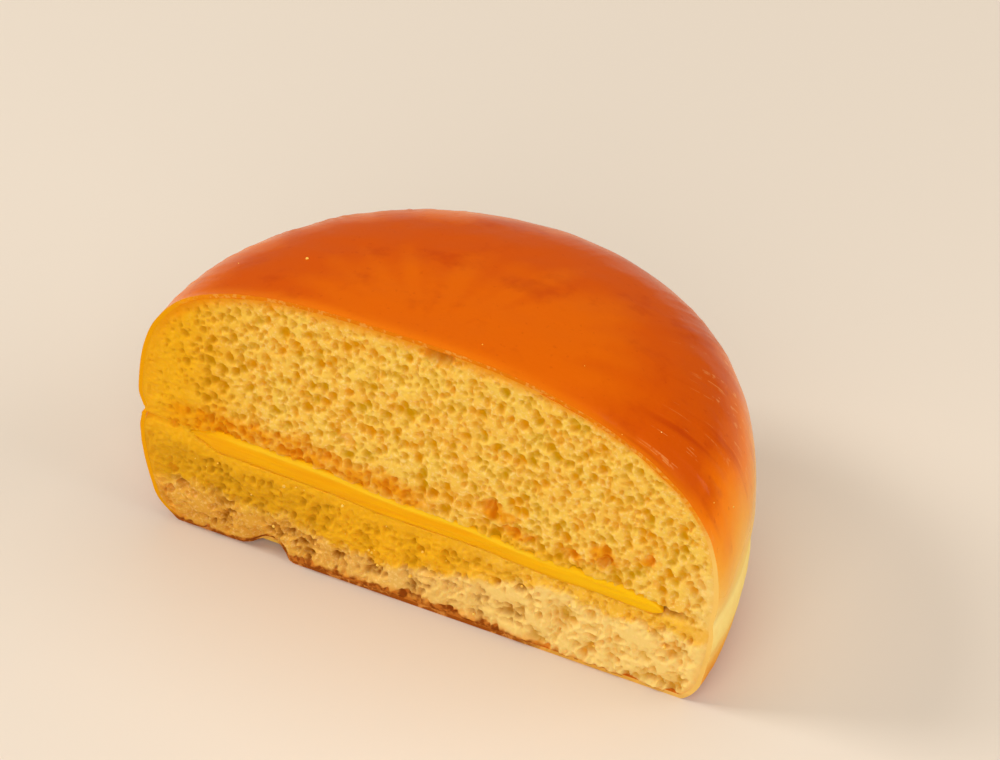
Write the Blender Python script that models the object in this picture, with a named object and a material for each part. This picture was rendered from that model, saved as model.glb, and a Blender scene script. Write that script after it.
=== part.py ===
"""Bun maska: one half of a buttered milk bun, standing on its flat base.

The bun was split with a knife from its rim, stopped short of one side, buttered and cut down
the middle. The half is one piece of bread with a slot in it, and the layer of butter lies in
the slot. The cut face looks toward -Y, the uncut side is at +X and the rim of the split is
open round the back and at -X.

Units are metres. "turn" is the angle round the bun, 0 at +X and a quarter turn at the back.
"""

import math

import bmesh
import bpy
from mathutils import Vector, noise

MM = 0.001

# The baked form: a turned dome on a heel that draws in toward the base.
BUN_RADIUS = 52.3 * MM
BUN_HEIGHT = 54.2 * MM
WAIST_HEIGHT = 21.8 * MM  # where the bun is widest
WAIST_RISE = 3.2 * MM  # the waist is this much higher at +X and lower at -X
BASE_SHARE = 0.93  # radius of the base, as a share of the waist
BASE_ROUNDING = 4.5 * MM  # height over which the base edge rolls under
BASE_ROLL = 0.04  # how far it rolls under, as a share of the waist
SHOULDER_POWER = 2.5  # 2 is round, more is square
SHOULDER_ENDS = -0.5
SHOULDER_SIDES = 0.23
SHOULDER_BACK = 0.85
OVAL = -0.03
BACK_SLOPE = -0.12  # the top falls toward the back
CENTRE_BEHIND_CUT = 0.8 * MM
CENTRE_LEFT = 0.35 * MM
SWELL = 0.45 * MM  # slow unevenness of the baked skin
SWELL_SCALE = 22 * MM
CREASE_DEPTH = 0.5 * MM  # the fold between the pale side and the heel
CREASE_WIDTH = 2.2 * MM
CREASE_ZONE = (0.8, 0.95)  # it starts and is full at these shares of the radius

# The buttered layer.
LAYER_HEIGHT = 19.5 * MM  # at the middle of the cut face
LAYER_SLOPE = -0.046  # it falls toward +X
LAYER_THICKNESS = 3.6 * MM
LAYER_WAVE = 0.5 * MM
LAYER_WAVE_SCALE = 14 * MM
LAYER_EDGE_POWER = 10  # higher keeps the full thickness nearer to the edge
LAYER_EDGE_BLUNTNESS = 0.7
HINGE_DISTANCE = 38.6 * MM  # the knife stopped along a line this far from the centre
HINGE_TURN = math.radians(22)
CORNER_POWER = 12  # how tightly the butter turns from the hinge line to the rim
RIM_INSET = 1.0 * MM
RIM_INSET_WAVE = 1.5 * MM
RIM_WAVES = 5
RIM_WAVE_START = 0.8
FAR_END_INSET = 9 * MM  # at -X the butter stops this far short of the skin
FAR_END_START = math.radians(150)
CLEARANCE = 0.3 * MM
SLIT_HEIGHT = 0.9 * MM
SLIT_SHORT_OF_HINGE = 1.5 * MM

# The crumb on the cut face.
CRUMB_CELL = 1.7 * MM
CRUMB_FADE = 2.5 * MM  # the relief dies out this far from the crust
ROUGHNESS = 0.5 * MM
ROUGHNESS_SCALE = 2.0 * MM
PORE_SPACING = 4.8 * MM
PORE_RADIUS = 0.55  # as a share of the spacing
PORE_DEPTH = 1.7 * MM
HEEL_LUMP = 1.1 * MM
HEEL_LUMP_SCALE = 4.2 * MM
HEEL_LUMP_SHIFT = Vector((7, 0, 3))
HEEL_LUMP_START = 3 * MM  # the lumps are full this far under the butter
HEEL_PROUD = 0.5 * MM
LOST_EDGE_DEPTH = 1.8 * MM  # crumb torn off the base edge, from the chip to -X
LOST_EDGE_HEIGHT = 6 * MM

# Scoops out of the cut face: X and Z of the middle, radius and depth.
CHIP = (-28 * MM, 0.5 * MM, 4.2 * MM, 3.6 * MM)  # in the base edge
HOLLOW = (2.8 * MM, 53.2 * MM, 2.9 * MM, 1.7 * MM)  # under the crust at the top

CUT_SIDE_MARGIN = 6 * MM
CUT_TOP_MARGIN = 5 * MM
CUT_BLOCK_DEPTH = 70 * MM

SKIN_SEGMENTS = 80
SKIN_RINGS = 36
BUTTER_SEGMENTS = 56
BUTTER_RINGS = 16
BASE_RING_SHARE = 0.2  # of the rings under the waist, those that make the flat base
EDGE_BAND = 0.001  # a sphere's points this near its equator are its edge

CRUST_COLOUR = (0.70, 0.22, 0.035, 1)
BUTTER_COLOUR = (0.90, 0.52, 0.04, 1)


def clear_scene():
    for old in list(bpy.data.objects):
        bpy.data.objects.remove(old, do_unlink=True)


def collection(name):
    made = bpy.data.collections.new(name)
    bpy.context.scene.collection.children.link(made)
    return made


def material(name, colour, roughness, coat):
    made = bpy.data.materials.new(name)
    made.use_nodes = True
    shader = made.node_tree.nodes["Principled BSDF"]
    shader.inputs["Base Color"].default_value = colour
    shader.inputs["Roughness"].default_value = roughness
    shader.inputs["Metallic"].default_value = 0
    shader.inputs["Coat Weight"].default_value = coat
    return made


def mesh_object(name, shape, home):
    """An object made from a bmesh, with its normals facing outward."""
    bmesh.ops.recalc_face_normals(shape, faces=shape.faces)
    mesh = bpy.data.meshes.new(name)
    shape.to_mesh(mesh)
    shape.free()
    made = bpy.data.objects.new(name, mesh)
    home.objects.link(made)
    return made


def smooth_step(low, high, value):
    share = min(max((value - low) / (high - low), 0), 1)
    return share * share * (3 - 2 * share)


def waist_height(turn):
    return WAIST_HEIGHT + WAIST_RISE * math.cos(turn)


def waist_radius(turn):
    return BUN_RADIUS * (1 + OVAL * math.cos(2 * turn))


def shoulder_power(turn):
    ends = SHOULDER_ENDS * math.cos(turn)
    sides = SHOULDER_SIDES * math.cos(2 * turn)
    back = SHOULDER_BACK * abs(math.sin(turn))
    return SHOULDER_POWER + ends + sides + back


def heel_share(height, turn):
    """Radius below the waist, as a share of the waist's."""
    side = BASE_SHARE + (1 - BASE_SHARE) * math.sin(height / waist_height(turn) * math.pi / 2)
    roll = max(1 - height / BASE_ROUNDING, 0)
    return side - BASE_ROLL * roll * roll


def layer_height(x, y):
    wave = LAYER_WAVE * noise.noise(Vector((x, y, 0)) / LAYER_WAVE_SCALE)
    return LAYER_HEIGHT + LAYER_SLOPE * x + wave


def skin_place(turn, rise):
    """A point of the skin: rise is 1 at the top, 0 at the waist and -1 at the middle of the base."""
    if rise >= 0:
        power = shoulder_power(turn)
        slope = rise * math.pi / 2
        reach = (math.cos(slope) ** power + math.sin(slope) ** power) ** (-1 / power)
        share = math.cos(slope) * reach
        fall = 1 + BACK_SLOPE * share * math.sin(turn)
        crown = BUN_HEIGHT - waist_height(turn)
        height = waist_height(turn) + crown * math.sin(slope) * reach * fall
    else:
        down = min(-rise / (1 - BASE_RING_SHARE), 1)
        height = waist_height(turn) * (1 - down)
        share = heel_share(height, turn)
        if -rise > 1 - BASE_RING_SHARE:
            share *= (1 + rise) / BASE_RING_SHARE
    radius = waist_radius(turn) * share
    x = radius * math.cos(turn) - CENTRE_LEFT
    y = radius * math.sin(turn) + CENTRE_BEHIND_CUT
    return Vector((x, y, height))


def weathered(place, turn):
    """The same point with the bun's slow swells and the fold at the heel."""
    outward = Vector((math.cos(turn), math.sin(turn), 0))
    off_base = smooth_step(0, BASE_ROUNDING, place.z)
    swell = SWELL * noise.noise(place / SWELL_SCALE) * off_base
    from_fold = (place.z - layer_height(place.x, place.y)) / CREASE_WIDTH
    on_side = smooth_step(*CREASE_ZONE, math.hypot(place.x, place.y) / BUN_RADIUS)
    crease = CREASE_DEPTH * math.exp(-from_fold * from_fold) * on_side
    return place + outward * (swell - crease)


def make_loaf(home, crust):
    """The whole baked bun, before the cut: a sphere drawn to the bun's form."""
    shape = bmesh.new()
    bmesh.ops.create_uvsphere(
        shape, u_segments=SKIN_SEGMENTS, v_segments=SKIN_RINGS, radius=1
    )
    for corner in shape.verts:
        turn = math.atan2(corner.co.y, corner.co.x)
        rise = math.asin(max(min(corner.co.z, 1), -1)) / (math.pi / 2)
        corner.co = weathered(skin_place(turn, rise), turn)
    loaf = mesh_object("bun", shape, home)
    loaf.data.materials.append(crust)
    return loaf


def depth_inside(x, z):
    """How far a point of the cut face lies inside the crust, along its ray from the waist."""
    turn = 0 if x > 0 else math.pi
    across = abs(x) / waist_radius(turn)
    over_waist = z - waist_height(turn)
    if over_waist > 0:
        power = shoulder_power(turn)
        up = over_waist / (BUN_HEIGHT - waist_height(turn))
        share = (across**power + up**power) ** (1 / power)
    else:
        share = across / heel_share(max(z, 0), turn)
    return (1 - share) * BUN_RADIUS


def scooped(x, z, scoop):
    """How deep a scoop is at this point of the face."""
    middle_x, middle_z, radius, depth = scoop
    away = math.hypot(x - middle_x, z - middle_z) / radius
    return depth * max(1 - away * away, 0)


def crumb_relief(x, z):
    """How far the crumb lies behind the cut plane at this point of the face."""
    spot = Vector((x, 0, z))
    relief = ROUGHNESS * noise.noise(spot / ROUGHNESS_SCALE)
    nearest = noise.voronoi(spot / PORE_SPACING)[0][0]
    hollow = max(1 - nearest / PORE_RADIUS, 0)
    relief += PORE_DEPTH * hollow * hollow
    under_butter = layer_height(x, 0) - LAYER_THICKNESS / 2 - z
    in_heel = smooth_step(0, HEEL_LUMP_START, under_butter)
    lump = HEEL_LUMP * noise.noise(spot / HEEL_LUMP_SCALE + HEEL_LUMP_SHIFT)
    relief += in_heel * (lump - HEEL_PROUD)
    relief *= smooth_step(0, CRUMB_FADE, depth_inside(x, z))
    past_chip = smooth_step(CHIP[0] + CHIP[2], CHIP[0], x)
    low_down = smooth_step(LOST_EDGE_HEIGHT, 0, z)
    relief += LOST_EDGE_DEPTH * past_chip * low_down
    return relief + scooped(x, z, CHIP) + scooped(x, z, HOLLOW)


def make_cut(home):
    """A block in front of the bun whose back is the relief of the cut crumb."""
    wide = 2 * (BUN_RADIUS + CUT_SIDE_MARGIN)
    high = BUN_HEIGHT + 2 * CUT_TOP_MARGIN
    shape = bmesh.new()
    grid = bmesh.ops.create_grid(
        shape,
        x_segments=round(wide / CRUMB_CELL),
        y_segments=round(high / CRUMB_CELL),
        size=0.5,
    )
    for corner in grid["verts"]:
        x = corner.co.x * wide
        z = corner.co.y * high + BUN_HEIGHT / 2
        corner.co = Vector((x, crumb_relief(x, z), z))
    block = bmesh.ops.extrude_face_region(shape, geom=shape.faces[:], use_keep_orig=True)
    for item in block["geom"]:
        if isinstance(item, bmesh.types.BMVert):
            item.co.y = -CUT_BLOCK_DEPTH
    return mesh_object("cut", shape, home)


def butter_reach(turn):
    """Radius of the butter's edge: the hinge line near +X, and the rim elsewhere."""
    turn = abs(turn)
    wave = RIM_INSET_WAVE * math.sin(RIM_WAVES * turn + RIM_WAVE_START)
    far_end = FAR_END_INSET * smooth_step(FAR_END_START, math.pi, turn)
    rim = waist_radius(turn) - RIM_INSET - wave - far_end
    hinge_share = max(rim * math.cos(turn - HINGE_TURN) / HINGE_DISTANCE, 0)
    return rim * (1 + hinge_share**CORNER_POWER) ** (-1 / CORNER_POWER)


def layer_shape(grow):
    """The butter's layer as a flattened sphere, each side grown by the amount given."""
    shape = bmesh.new()
    bmesh.ops.create_uvsphere(
        shape, u_segments=BUTTER_SEGMENTS, v_segments=BUTTER_RINGS, radius=1
    )
    for corner in shape.verts:
        turn = math.atan2(corner.co.y, corner.co.x)
        share = min(math.hypot(corner.co.x, corner.co.y), 1)
        side = (corner.co.z > EDGE_BAND) - (corner.co.z < -EDGE_BAND)
        reach = share * (butter_reach(turn) + grow)
        x = reach * math.cos(turn)
        y = reach * math.sin(turn)
        fullness = (1 - share**LAYER_EDGE_POWER) ** LAYER_EDGE_BLUNTNESS
        thick = LAYER_THICKNESS / 2 * fullness + grow
        corner.co = Vector((x, y, layer_height(x, y) + side * thick))
    return shape


def make_slit(home):
    """The knife's path from the butter out through the rim."""
    shape = bmesh.new()
    bmesh.ops.create_cube(shape, size=1)
    stop = HINGE_DISTANCE - SLIT_SHORT_OF_HINGE
    length = 3 * BUN_RADIUS
    for corner in shape.verts:
        along = stop + (corner.co.x - 0.5) * length
        across = corner.co.y * 2 * length
        x = along * math.cos(HINGE_TURN) - across * math.sin(HINGE_TURN)
        y = along * math.sin(HINGE_TURN) + across * math.cos(HINGE_TURN)
        z = LAYER_HEIGHT + LAYER_SLOPE * x + corner.co.z * SLIT_HEIGHT
        corner.co = Vector((x, y, z))
    return mesh_object("slit", shape, home)


def make_butter_knife(home):
    """A plain block in front of the cut plane, which squares off the butter."""
    deep = 80 * MM
    shape = bmesh.new()
    bmesh.ops.create_cube(shape, size=2 * deep)
    bmesh.ops.translate(shape, verts=shape.verts, vec=(0, -deep, 0))
    return mesh_object("butter_knife", shape, home)


def take_away(target, cutter):
    cut = target.modifiers.new(cutter.name, "BOOLEAN")
    cut.operation = "DIFFERENCE"
    cut.solver = "EXACT"
    cut.object = cutter
    cutter.hide_render = True
    cutter.display_type = "WIRE"


def stand_on_origin(objects):
    """Moves all so that the middle of the finished bread's footprint box is at the origin."""
    bpy.context.view_layer.update()
    graph = bpy.context.evaluated_depsgraph_get()
    bread = bpy.data.objects["bun"].evaluated_get(graph)
    corners = [Vector(corner) for corner in bread.bound_box]
    low = Vector(min(corner[axis] for corner in corners) for axis in range(3))
    high = Vector(max(corner[axis] for corner in corners) for axis in range(3))
    shift = Vector((-(low.x + high.x) / 2, -(low.y + high.y) / 2, -low.z))
    for item in objects:
        item.location = shift


def main():
    clear_scene()
    parts = collection("bun_maska")
    cutters = collection("cutters")
    crust = material("crust", CRUST_COLOUR, roughness=0.35, coat=0.5)
    yellow = material("butter", BUTTER_COLOUR, roughness=0.4, coat=0.2)

    bun = make_loaf(parts, crust)
    butter = mesh_object("butter", layer_shape(0), parts)
    butter.data.materials.append(yellow)

    slot = mesh_object("slot", layer_shape(CLEARANCE), cutters)
    take_away(bun, make_cut(cutters))
    take_away(bun, slot)
    take_away(bun, make_slit(cutters))
    take_away(butter, make_butter_knife(cutters))

    for item in (bun, butter):
        item.data.shade_smooth()
        item.data.set_sharp_from_angle(angle=math.radians(40))
    stand_on_origin([*parts.objects, *cutters.objects])


main()
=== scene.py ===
"""Looks of the bun maska half: baked crust, torn crumb and butter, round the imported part.

The bun is drawn in the cut's own frame, where the knife came down on the plane y = 0 and the
crumb looks toward -Y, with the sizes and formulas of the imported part. A shift then sets every
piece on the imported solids.

Units are metres. "turn" is the angle round the bun, 0 at +X and a quarter turn at the back.
"""

from __future__ import annotations

import logging
import math
import random
from dataclasses import dataclass, field
from enum import Enum
from typing import Any, Callable, Iterable

import bmesh
import bpy
import numpy as np
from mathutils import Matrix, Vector, noise

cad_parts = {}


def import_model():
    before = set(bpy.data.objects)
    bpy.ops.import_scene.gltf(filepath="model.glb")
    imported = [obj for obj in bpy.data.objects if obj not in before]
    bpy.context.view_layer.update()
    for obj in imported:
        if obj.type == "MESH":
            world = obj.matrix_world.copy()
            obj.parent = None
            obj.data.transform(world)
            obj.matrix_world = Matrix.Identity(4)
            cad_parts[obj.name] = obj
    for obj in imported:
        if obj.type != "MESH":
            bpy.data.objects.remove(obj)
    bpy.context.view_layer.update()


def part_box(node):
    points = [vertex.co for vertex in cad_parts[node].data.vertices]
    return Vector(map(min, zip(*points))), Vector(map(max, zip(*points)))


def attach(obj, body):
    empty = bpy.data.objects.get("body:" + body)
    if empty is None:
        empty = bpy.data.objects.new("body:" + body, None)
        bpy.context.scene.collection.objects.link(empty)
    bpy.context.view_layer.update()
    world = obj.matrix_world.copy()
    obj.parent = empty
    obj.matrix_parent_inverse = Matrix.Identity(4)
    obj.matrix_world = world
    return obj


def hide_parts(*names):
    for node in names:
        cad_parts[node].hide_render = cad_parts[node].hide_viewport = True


log = logging.getLogger("bun_maska")

MM = 0.001
HAIR = 0.01 * MM
QUARTER = math.pi / 2
NOISE_SEED = 5
BACKWARD = Vector((0, 1, 0))

Colour = tuple[float, float, float, float]
Shape = bmesh.types.BMesh
Shade = Callable[[Vector], float]
Pair = tuple[float, float]
Stops = tuple[tuple[float, Colour], ...]


class Side(Enum):
    """The two leaves of the split bread; the value is which way they lie from the butter."""

    CROWN = 1
    HEEL = -1


# --- small helpers ---------------------------------------------------------------------------


def smooth_step(low: float, high: float, value: float) -> float:
    """Share of the way from low to high, eased at both ends.

    Args:
        low: Where the share is 0.
        high: Where it is 1, which may be below low.
        value: The number looked at.

    Returns:
        A share from 0 to 1.
    """
    share = min(max((value - low) / (high - low), 0.0), 1.0)
    return share * share * (3 - 2 * share)


def bell(value: float, width: float) -> float:
    """A soft bump, 1 at 0 and nearly gone at two widths."""
    share = value / width
    return math.exp(-share * share)


def blend(low: float, high: float, share: float) -> float:
    """The number a share of the way from low to high."""
    return low + (high - low) * share


def tone(red: int, green: int, blue: int) -> Colour:
    """A colour as a shader wants it.

    Args:
        red: Red as on a screen, 0 to 255.
        green: Green, likewise.
        blue: Blue, likewise.

    Returns:
        The linear colour, with full alpha.
    """

    def linear(part: int) -> float:
        """One channel without the screen's curve."""
        share = part / 255
        return share / 12.92 if share <= 0.04045 else ((share + 0.055) / 1.055) ** 2.4

    return (linear(red), linear(green), linear(blue), 1.0)


def slow_noise(place: Vector, scale: float, shift: float = 0.0) -> float:
    """Smooth noise from -1 to 1 with patches of about the scale given."""
    return noise.noise(place / scale + Vector((shift, -shift, 2 * shift)))


@dataclass(frozen=True)
class Fade:
    """An eased change from 0 at one value to 1 at another, in millimetres or another unit."""

    start: float
    end: float
    unit: float = MM

    def __call__(self, value: float) -> float:
        """How far the change has come at a value."""
        return smooth_step(self.start, self.end, value / self.unit)


@dataclass(frozen=True)
class Drift:
    """A number that drifts from place to place; its scale is in millimetres."""

    swing: float
    scale: float
    shift: float = 0.0
    mean: float = 0.0

    def at(self, place: Vector) -> float:
        """The number at a place."""
        return self.mean + self.swing * slow_noise(place, self.scale * MM, self.shift)

    def on_face(self, x: float, z: float = 0.0) -> float:
        """The number at a point of the cut face."""
        return self.at(Vector((x, 0, z)))


def each_of(kind: Callable[..., Any], *rows: tuple[float, ...]) -> tuple[Any, ...]:
    """Makes one thing of a kind from each row of millimetres."""
    return tuple(kind(*(part * MM for part in row)) for row in rows)


def cut(shape: Shape, point: Vector, normal: Vector, side: Side | None = None) -> None:
    """Cuts a whole shape with a plane.

    Args:
        shape: The shape.
        point: A point of the plane.
        normal: The plane's normal.
        side: Which side of the plane is kept, if not both.
    """
    geometry = [*shape.verts, *shape.edges, *shape.faces]
    bmesh.ops.bisect_plane(
        shape,
        geom=geometry,
        plane_co=point,
        plane_no=normal,
        clear_inner=side is Side.CROWN,
        clear_outer=side is Side.HEEL,
    )


def half_turn(steps: int) -> list[float]:
    """Even angles from 0 to half a turn."""
    return [math.pi * step / steps for step in range(steps + 1)]


def add_object(name: str, shape: Shape) -> bpy.types.Object:
    """Puts a shape, which is used up, into the scene as an object at the origin."""
    mesh = bpy.data.meshes.new(name)
    shape.to_mesh(mesh)
    shape.free()
    made = bpy.data.objects.new(name, mesh)
    bpy.context.scene.collection.objects.link(made)
    return made


# --- the bun's form --------------------------------------------------------------------------


@dataclass(frozen=True)
class BunForm:
    """The baked bun, its buttered layer and the knife's path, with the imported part's sizes."""

    radius: float = 52.3 * MM
    height: float = 54.2 * MM
    waist: float = 21.8 * MM
    waist_rise: float = 3.2 * MM
    base_share: float = 0.93
    base_rounding: float = 4.5 * MM
    base_roll: float = 0.04
    shoulder: float = 2.5
    shoulder_ends: float = -0.5
    shoulder_sides: float = 0.23
    shoulder_back: float = 0.85
    oval: float = -0.03
    back_slope: float = -0.12
    centre_behind_cut: float = 0.8 * MM
    centre_left: float = 0.35 * MM
    swell: float = 0.45 * MM
    swell_scale: float = 22 * MM
    crease_depth: float = 0.5 * MM
    crease_width: float = 2.2 * MM
    crease_zone: Fade = Fade(0.8, 0.95, 1)

    layer: float = 19.5 * MM
    layer_slope: float = -0.046
    layer_thickness: float = 3.6 * MM
    layer_wave: float = 0.5 * MM
    layer_wave_scale: float = 14 * MM
    hinge_distance: float = 38.6 * MM
    hinge_turn: float = math.radians(22)
    hinge_corner: float = 12
    rim_inset: float = 1.0 * MM
    rim_inset_wave: float = 1.5 * MM
    rim_waves: int = 5
    rim_wave_start: float = 0.8
    far_end_inset: float = 9 * MM
    far_end_start: float = math.radians(150)

    knife_drag: float = 1.0 * MM
    drag_reach: float = 2.5 * MM
    smear_left: float = 2.35 * MM
    smear_right: float = 1.55 * MM
    smear_span: Fade = Fade(-34, 46)
    tip_share: float = 0.45
    tip_span: Fade = Fade(-42.5, -36)

    slit_half_angle: float = math.radians(0.42)
    parting: float = 2.1 * MM
    parting_heel: float = 0.35
    parting_floor: float = 0.16
    parting_span: Fade = Fade(4, 20)
    gape: Drift = Drift(0.9, 13, 3, 0.5)
    fray: Drift = Drift(0.12 * MM, 2.2, 5)
    tuck: Drift = Drift(0.63 * MM, 11, 8, 0.495 * MM)
    lip_opening: Fade = Fade(2, 14)
    lip_reach: float = 3.2 * MM

    base_disc_from: float = -60.0
    waist_at: float = -10.0
    cube_before_cut: float = 0.1

    def waist_height(self, turn: float) -> float:
        """Height where the bun is widest."""
        return self.waist + self.waist_rise * math.cos(turn)

    def waist_radius(self, turn: float) -> float:
        """Radius where the bun is widest."""
        return self.radius * (1 + self.oval * math.cos(2 * turn))

    def shoulder_power(self, turn: float) -> float:
        """How square the shoulder is: 2 is round, more is square."""
        ends = self.shoulder_ends * math.cos(turn)
        sides = self.shoulder_sides * math.cos(2 * turn)
        back = self.shoulder_back * abs(math.sin(turn))
        return self.shoulder + ends + sides + back

    def heel_share(self, height: float, turn: float) -> float:
        """Radius below the waist, as a share of the waist's."""
        up = math.sin(height / self.waist_height(turn) * QUARTER)
        roll = max(1 - height / self.base_rounding, 0)
        return self.base_share + (1 - self.base_share) * up - self.base_roll * roll * roll

    def layer_height(self, x: float, y: float) -> float:
        """Height of the middle of the butter."""
        wave = self.layer_wave * noise.noise(Vector((x, y, 0)) / self.layer_wave_scale)
        return self.layer + self.layer_slope * x + wave

    def face_band(self, x: float) -> tuple[float, float]:
        """The butter as the knife dragged it down the cut face.

        Args:
            x: Place along the face.

        Returns:
            Height of its middle there, and half of how high it stands.
        """
        half = blend(self.smear_left, self.smear_right, self.smear_span(x))
        tip = blend(self.tip_share, 1.0, self.tip_span(x))
        return self.layer_height(x, 0) - self.knife_drag, half * tip

    def under_butter(self, x: float, z: float) -> float:
        """Depth of a point of the face below the butter."""
        middle, half = self.face_band(x)
        return middle - half - z

    def over_butter(self, x: float, z: float) -> float:
        """Height of a point of the face over the butter."""
        middle, half = self.face_band(x)
        return z - middle - half

    def skin_place(self, turn: float, elevation: float) -> Vector:
        """A point of the skin.

        Args:
            turn: The angle round the bun.
            elevation: Degrees, 90 at the top and -90 at the middle of the base.

        Returns:
            The point on the bun's plain form.
        """
        if elevation >= self.waist_at:
            slope = (elevation - self.waist_at) / (90 - self.waist_at) * QUARTER
            power = self.shoulder_power(turn)
            reach = (math.cos(slope) ** power + math.sin(slope) ** power) ** (-1 / power)
            share = math.cos(slope) * reach
            fall = 1 + self.back_slope * share * math.sin(turn)
            crown = self.height - self.waist_height(turn)
            height = self.waist_height(turn) + crown * math.sin(slope) * reach * fall
        else:
            down = (self.waist_at - elevation) / (self.waist_at - self.base_disc_from)
            height = self.waist_height(turn) * (1 - min(down, 1))
            share = self.heel_share(height, turn)
            if elevation < self.base_disc_from:
                share *= (elevation + 90) / (self.base_disc_from + 90)
        radius = self.waist_radius(turn) * share
        x = radius * math.cos(turn) - self.centre_left
        y = radius * math.sin(turn) + self.centre_behind_cut
        return Vector((x, y, height))

    def weathered(self, place: Vector, turn: float) -> Vector:
        """The same point with the bun's slow swells and the fold over the heel."""
        outward = Vector((math.cos(turn), math.sin(turn), 0))
        off_base = smooth_step(0, self.base_rounding, place.z)
        swell = self.swell * noise.noise(place / self.swell_scale) * off_base
        from_fold = place.z - self.layer_height(place.x, place.y)
        on_side = self.crease_zone(math.hypot(place.x, place.y) / self.radius)
        crease = self.crease_depth * bell(from_fold, self.crease_width) * on_side
        return place + outward * (swell - crease)

    def half(self, cuts: int, inset: float, detail: Shade | None = None) -> Shape:
        """The skin of the half bun, open a little in front of the cut plane.

        Args:
            cuts: How often each side of the starting cube is cut.
            inset: How far the skin is drawn in.
            detail: Gives how far the skin stands out at a point, for what is finer.

        Returns:
            A shape of even four-sided faces without poles.
        """
        shape = bmesh.new()
        bmesh.ops.create_cube(shape, size=2)
        bmesh.ops.subdivide_edges(shape, edges=shape.edges[:], cuts=cuts, use_grid_fill=True)
        spare = [corner for corner in shape.verts if corner.co.y < -self.cube_before_cut]
        bmesh.ops.delete(shape, geom=spare, context="VERTS")
        for corner in shape.verts:
            way = Vector(math.tan(part * QUARTER / 2) for part in corner.co).normalized()
            turn = math.atan2(way.y, way.x)
            elevation = math.degrees(math.asin(max(min(way.z, 1), -1)))
            corner.co = self.weathered(self.skin_place(turn, elevation), turn)
        shape.normal_update()
        if inset or detail:
            stands = [detail(corner.co) if detail else 0.0 for corner in shape.verts]
            for corner, stand in zip(shape.verts, stands):
                corner.co += corner.normal * (stand - inset)
        return shape

    def open_distance(self, place: Vector) -> float:
        """How far a point lies from the hinge, on the side where the bun opens."""
        along = place.x * math.cos(self.hinge_turn) + place.y * math.sin(self.hinge_turn)
        return self.hinge_distance - along

    def over_slit(self, place: Vector) -> float:
        """Height of a point over the middle of the slit, before the slit's wave."""
        return place.z - self.layer - self.layer_slope * place.x

    def slit_plane(self, side: Side) -> tuple[Vector, Vector]:
        """The knife's path along one leaf of the bread.

        Args:
            side: The leaf that the plane ends.

        Returns:
            A point of the plane and its normal, which points up.
        """
        slope = side.value * math.tan(self.slit_half_angle)
        across = math.cos(self.hinge_turn)
        deep = math.sin(self.hinge_turn)
        x, y = self.hinge_distance * across, self.hinge_distance * deep
        normal = Vector((slope * across - self.layer_slope, slope * deep, 1))
        return Vector((x, y, self.layer + self.layer_slope * x)), normal.normalized()

    def lipped(self, place: Vector) -> Vector:
        """The point after the lips of the slit have waved, parted and curled in.

        Args:
            place: A point of the bread, cut with plain planes.

        Returns:
            Where it really lies.
        """
        over = self.over_slit(place)
        near = bell(over, self.lip_reach) * self.lip_opening(self.open_distance(place))
        flat = Vector((place.x, place.y, 0))
        gape = self.gape.at(flat) * blend(self.parting_floor, 1.0, self.parting_span(place.y))
        up = self.layer_wave * noise.noise(flat / self.layer_wave_scale) + self.fray.at(place)
        up += self.parting * max(gape, 0) * (1.0 if over > 0 else -self.parting_heel)
        pull = self.tuck.at(place) if over > 0 else 0.0
        return place + Vector((0, 0, up)) * near - flat.normalized() * pull * near * near

    def butter_reach(self, turn: float) -> float:
        """Radius of the butter's edge: the hinge line near +X, and the rim elsewhere."""
        turn = abs(turn)
        wave = self.rim_inset_wave * math.sin(self.rim_waves * turn + self.rim_wave_start)
        far_end = self.far_end_inset * smooth_step(self.far_end_start, math.pi, turn)
        rim = self.waist_radius(turn) - self.rim_inset - wave - far_end
        hinge_share = max(rim * math.cos(turn - self.hinge_turn) / self.hinge_distance, 0)
        return rim * (1 + hinge_share**self.hinge_corner) ** (-1 / self.hinge_corner)


FORM = BunForm()


class CutOutline:
    """Outline of the bread on the cut plane, as radius against angle round a middle point."""

    middle_z: float = 22 * MM
    steps: int = 4000

    def __init__(self, places: Iterable[Vector]) -> None:
        """Reads the outline off the points where the skin meets the cut plane."""
        spots = sorted(self.polar(place.x, place.z) for place in places)
        angles, radii = zip(*spots)
        even = np.linspace(-math.pi, math.pi, self.steps + 1)
        self.radii = np.interp(even, angles, radii, period=2 * math.pi).tolist()

    def polar(self, x: float, z: float) -> tuple[float, float]:
        """Angle and distance of a point from the middle."""
        up = z - self.middle_z
        return math.atan2(up, x), math.hypot(x, up)

    def radius(self, angle: float) -> float:
        """Radius of the outline at an angle."""
        return self.radii[round((angle / math.pi + 1) / 2 * self.steps)]

    def inside(self, x: float, z: float) -> float:
        """How far a point lies inside the outline, along its ray."""
        angle, distance = self.polar(x, z)
        return self.radius(angle) - distance

    def on_ray(self, x: float, z: float, inset: float) -> tuple[float, float]:
        """The point of the drawn-in outline on the same ray."""
        angle, _ = self.polar(x, z)
        reach = self.radius(angle) - inset
        return reach * math.cos(angle), self.middle_z + reach * math.sin(angle)


@dataclass(frozen=True)
class Scoop:
    """A hollow in the cut face."""

    x: float
    z: float
    radius: float
    depth: float

    def at(self, x: float, z: float) -> float:
        """How deep it is at a point of the face."""
        away = math.hypot(x - self.x, z - self.z) / self.radius
        return self.depth * max(1 - away * away, 0)


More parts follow.
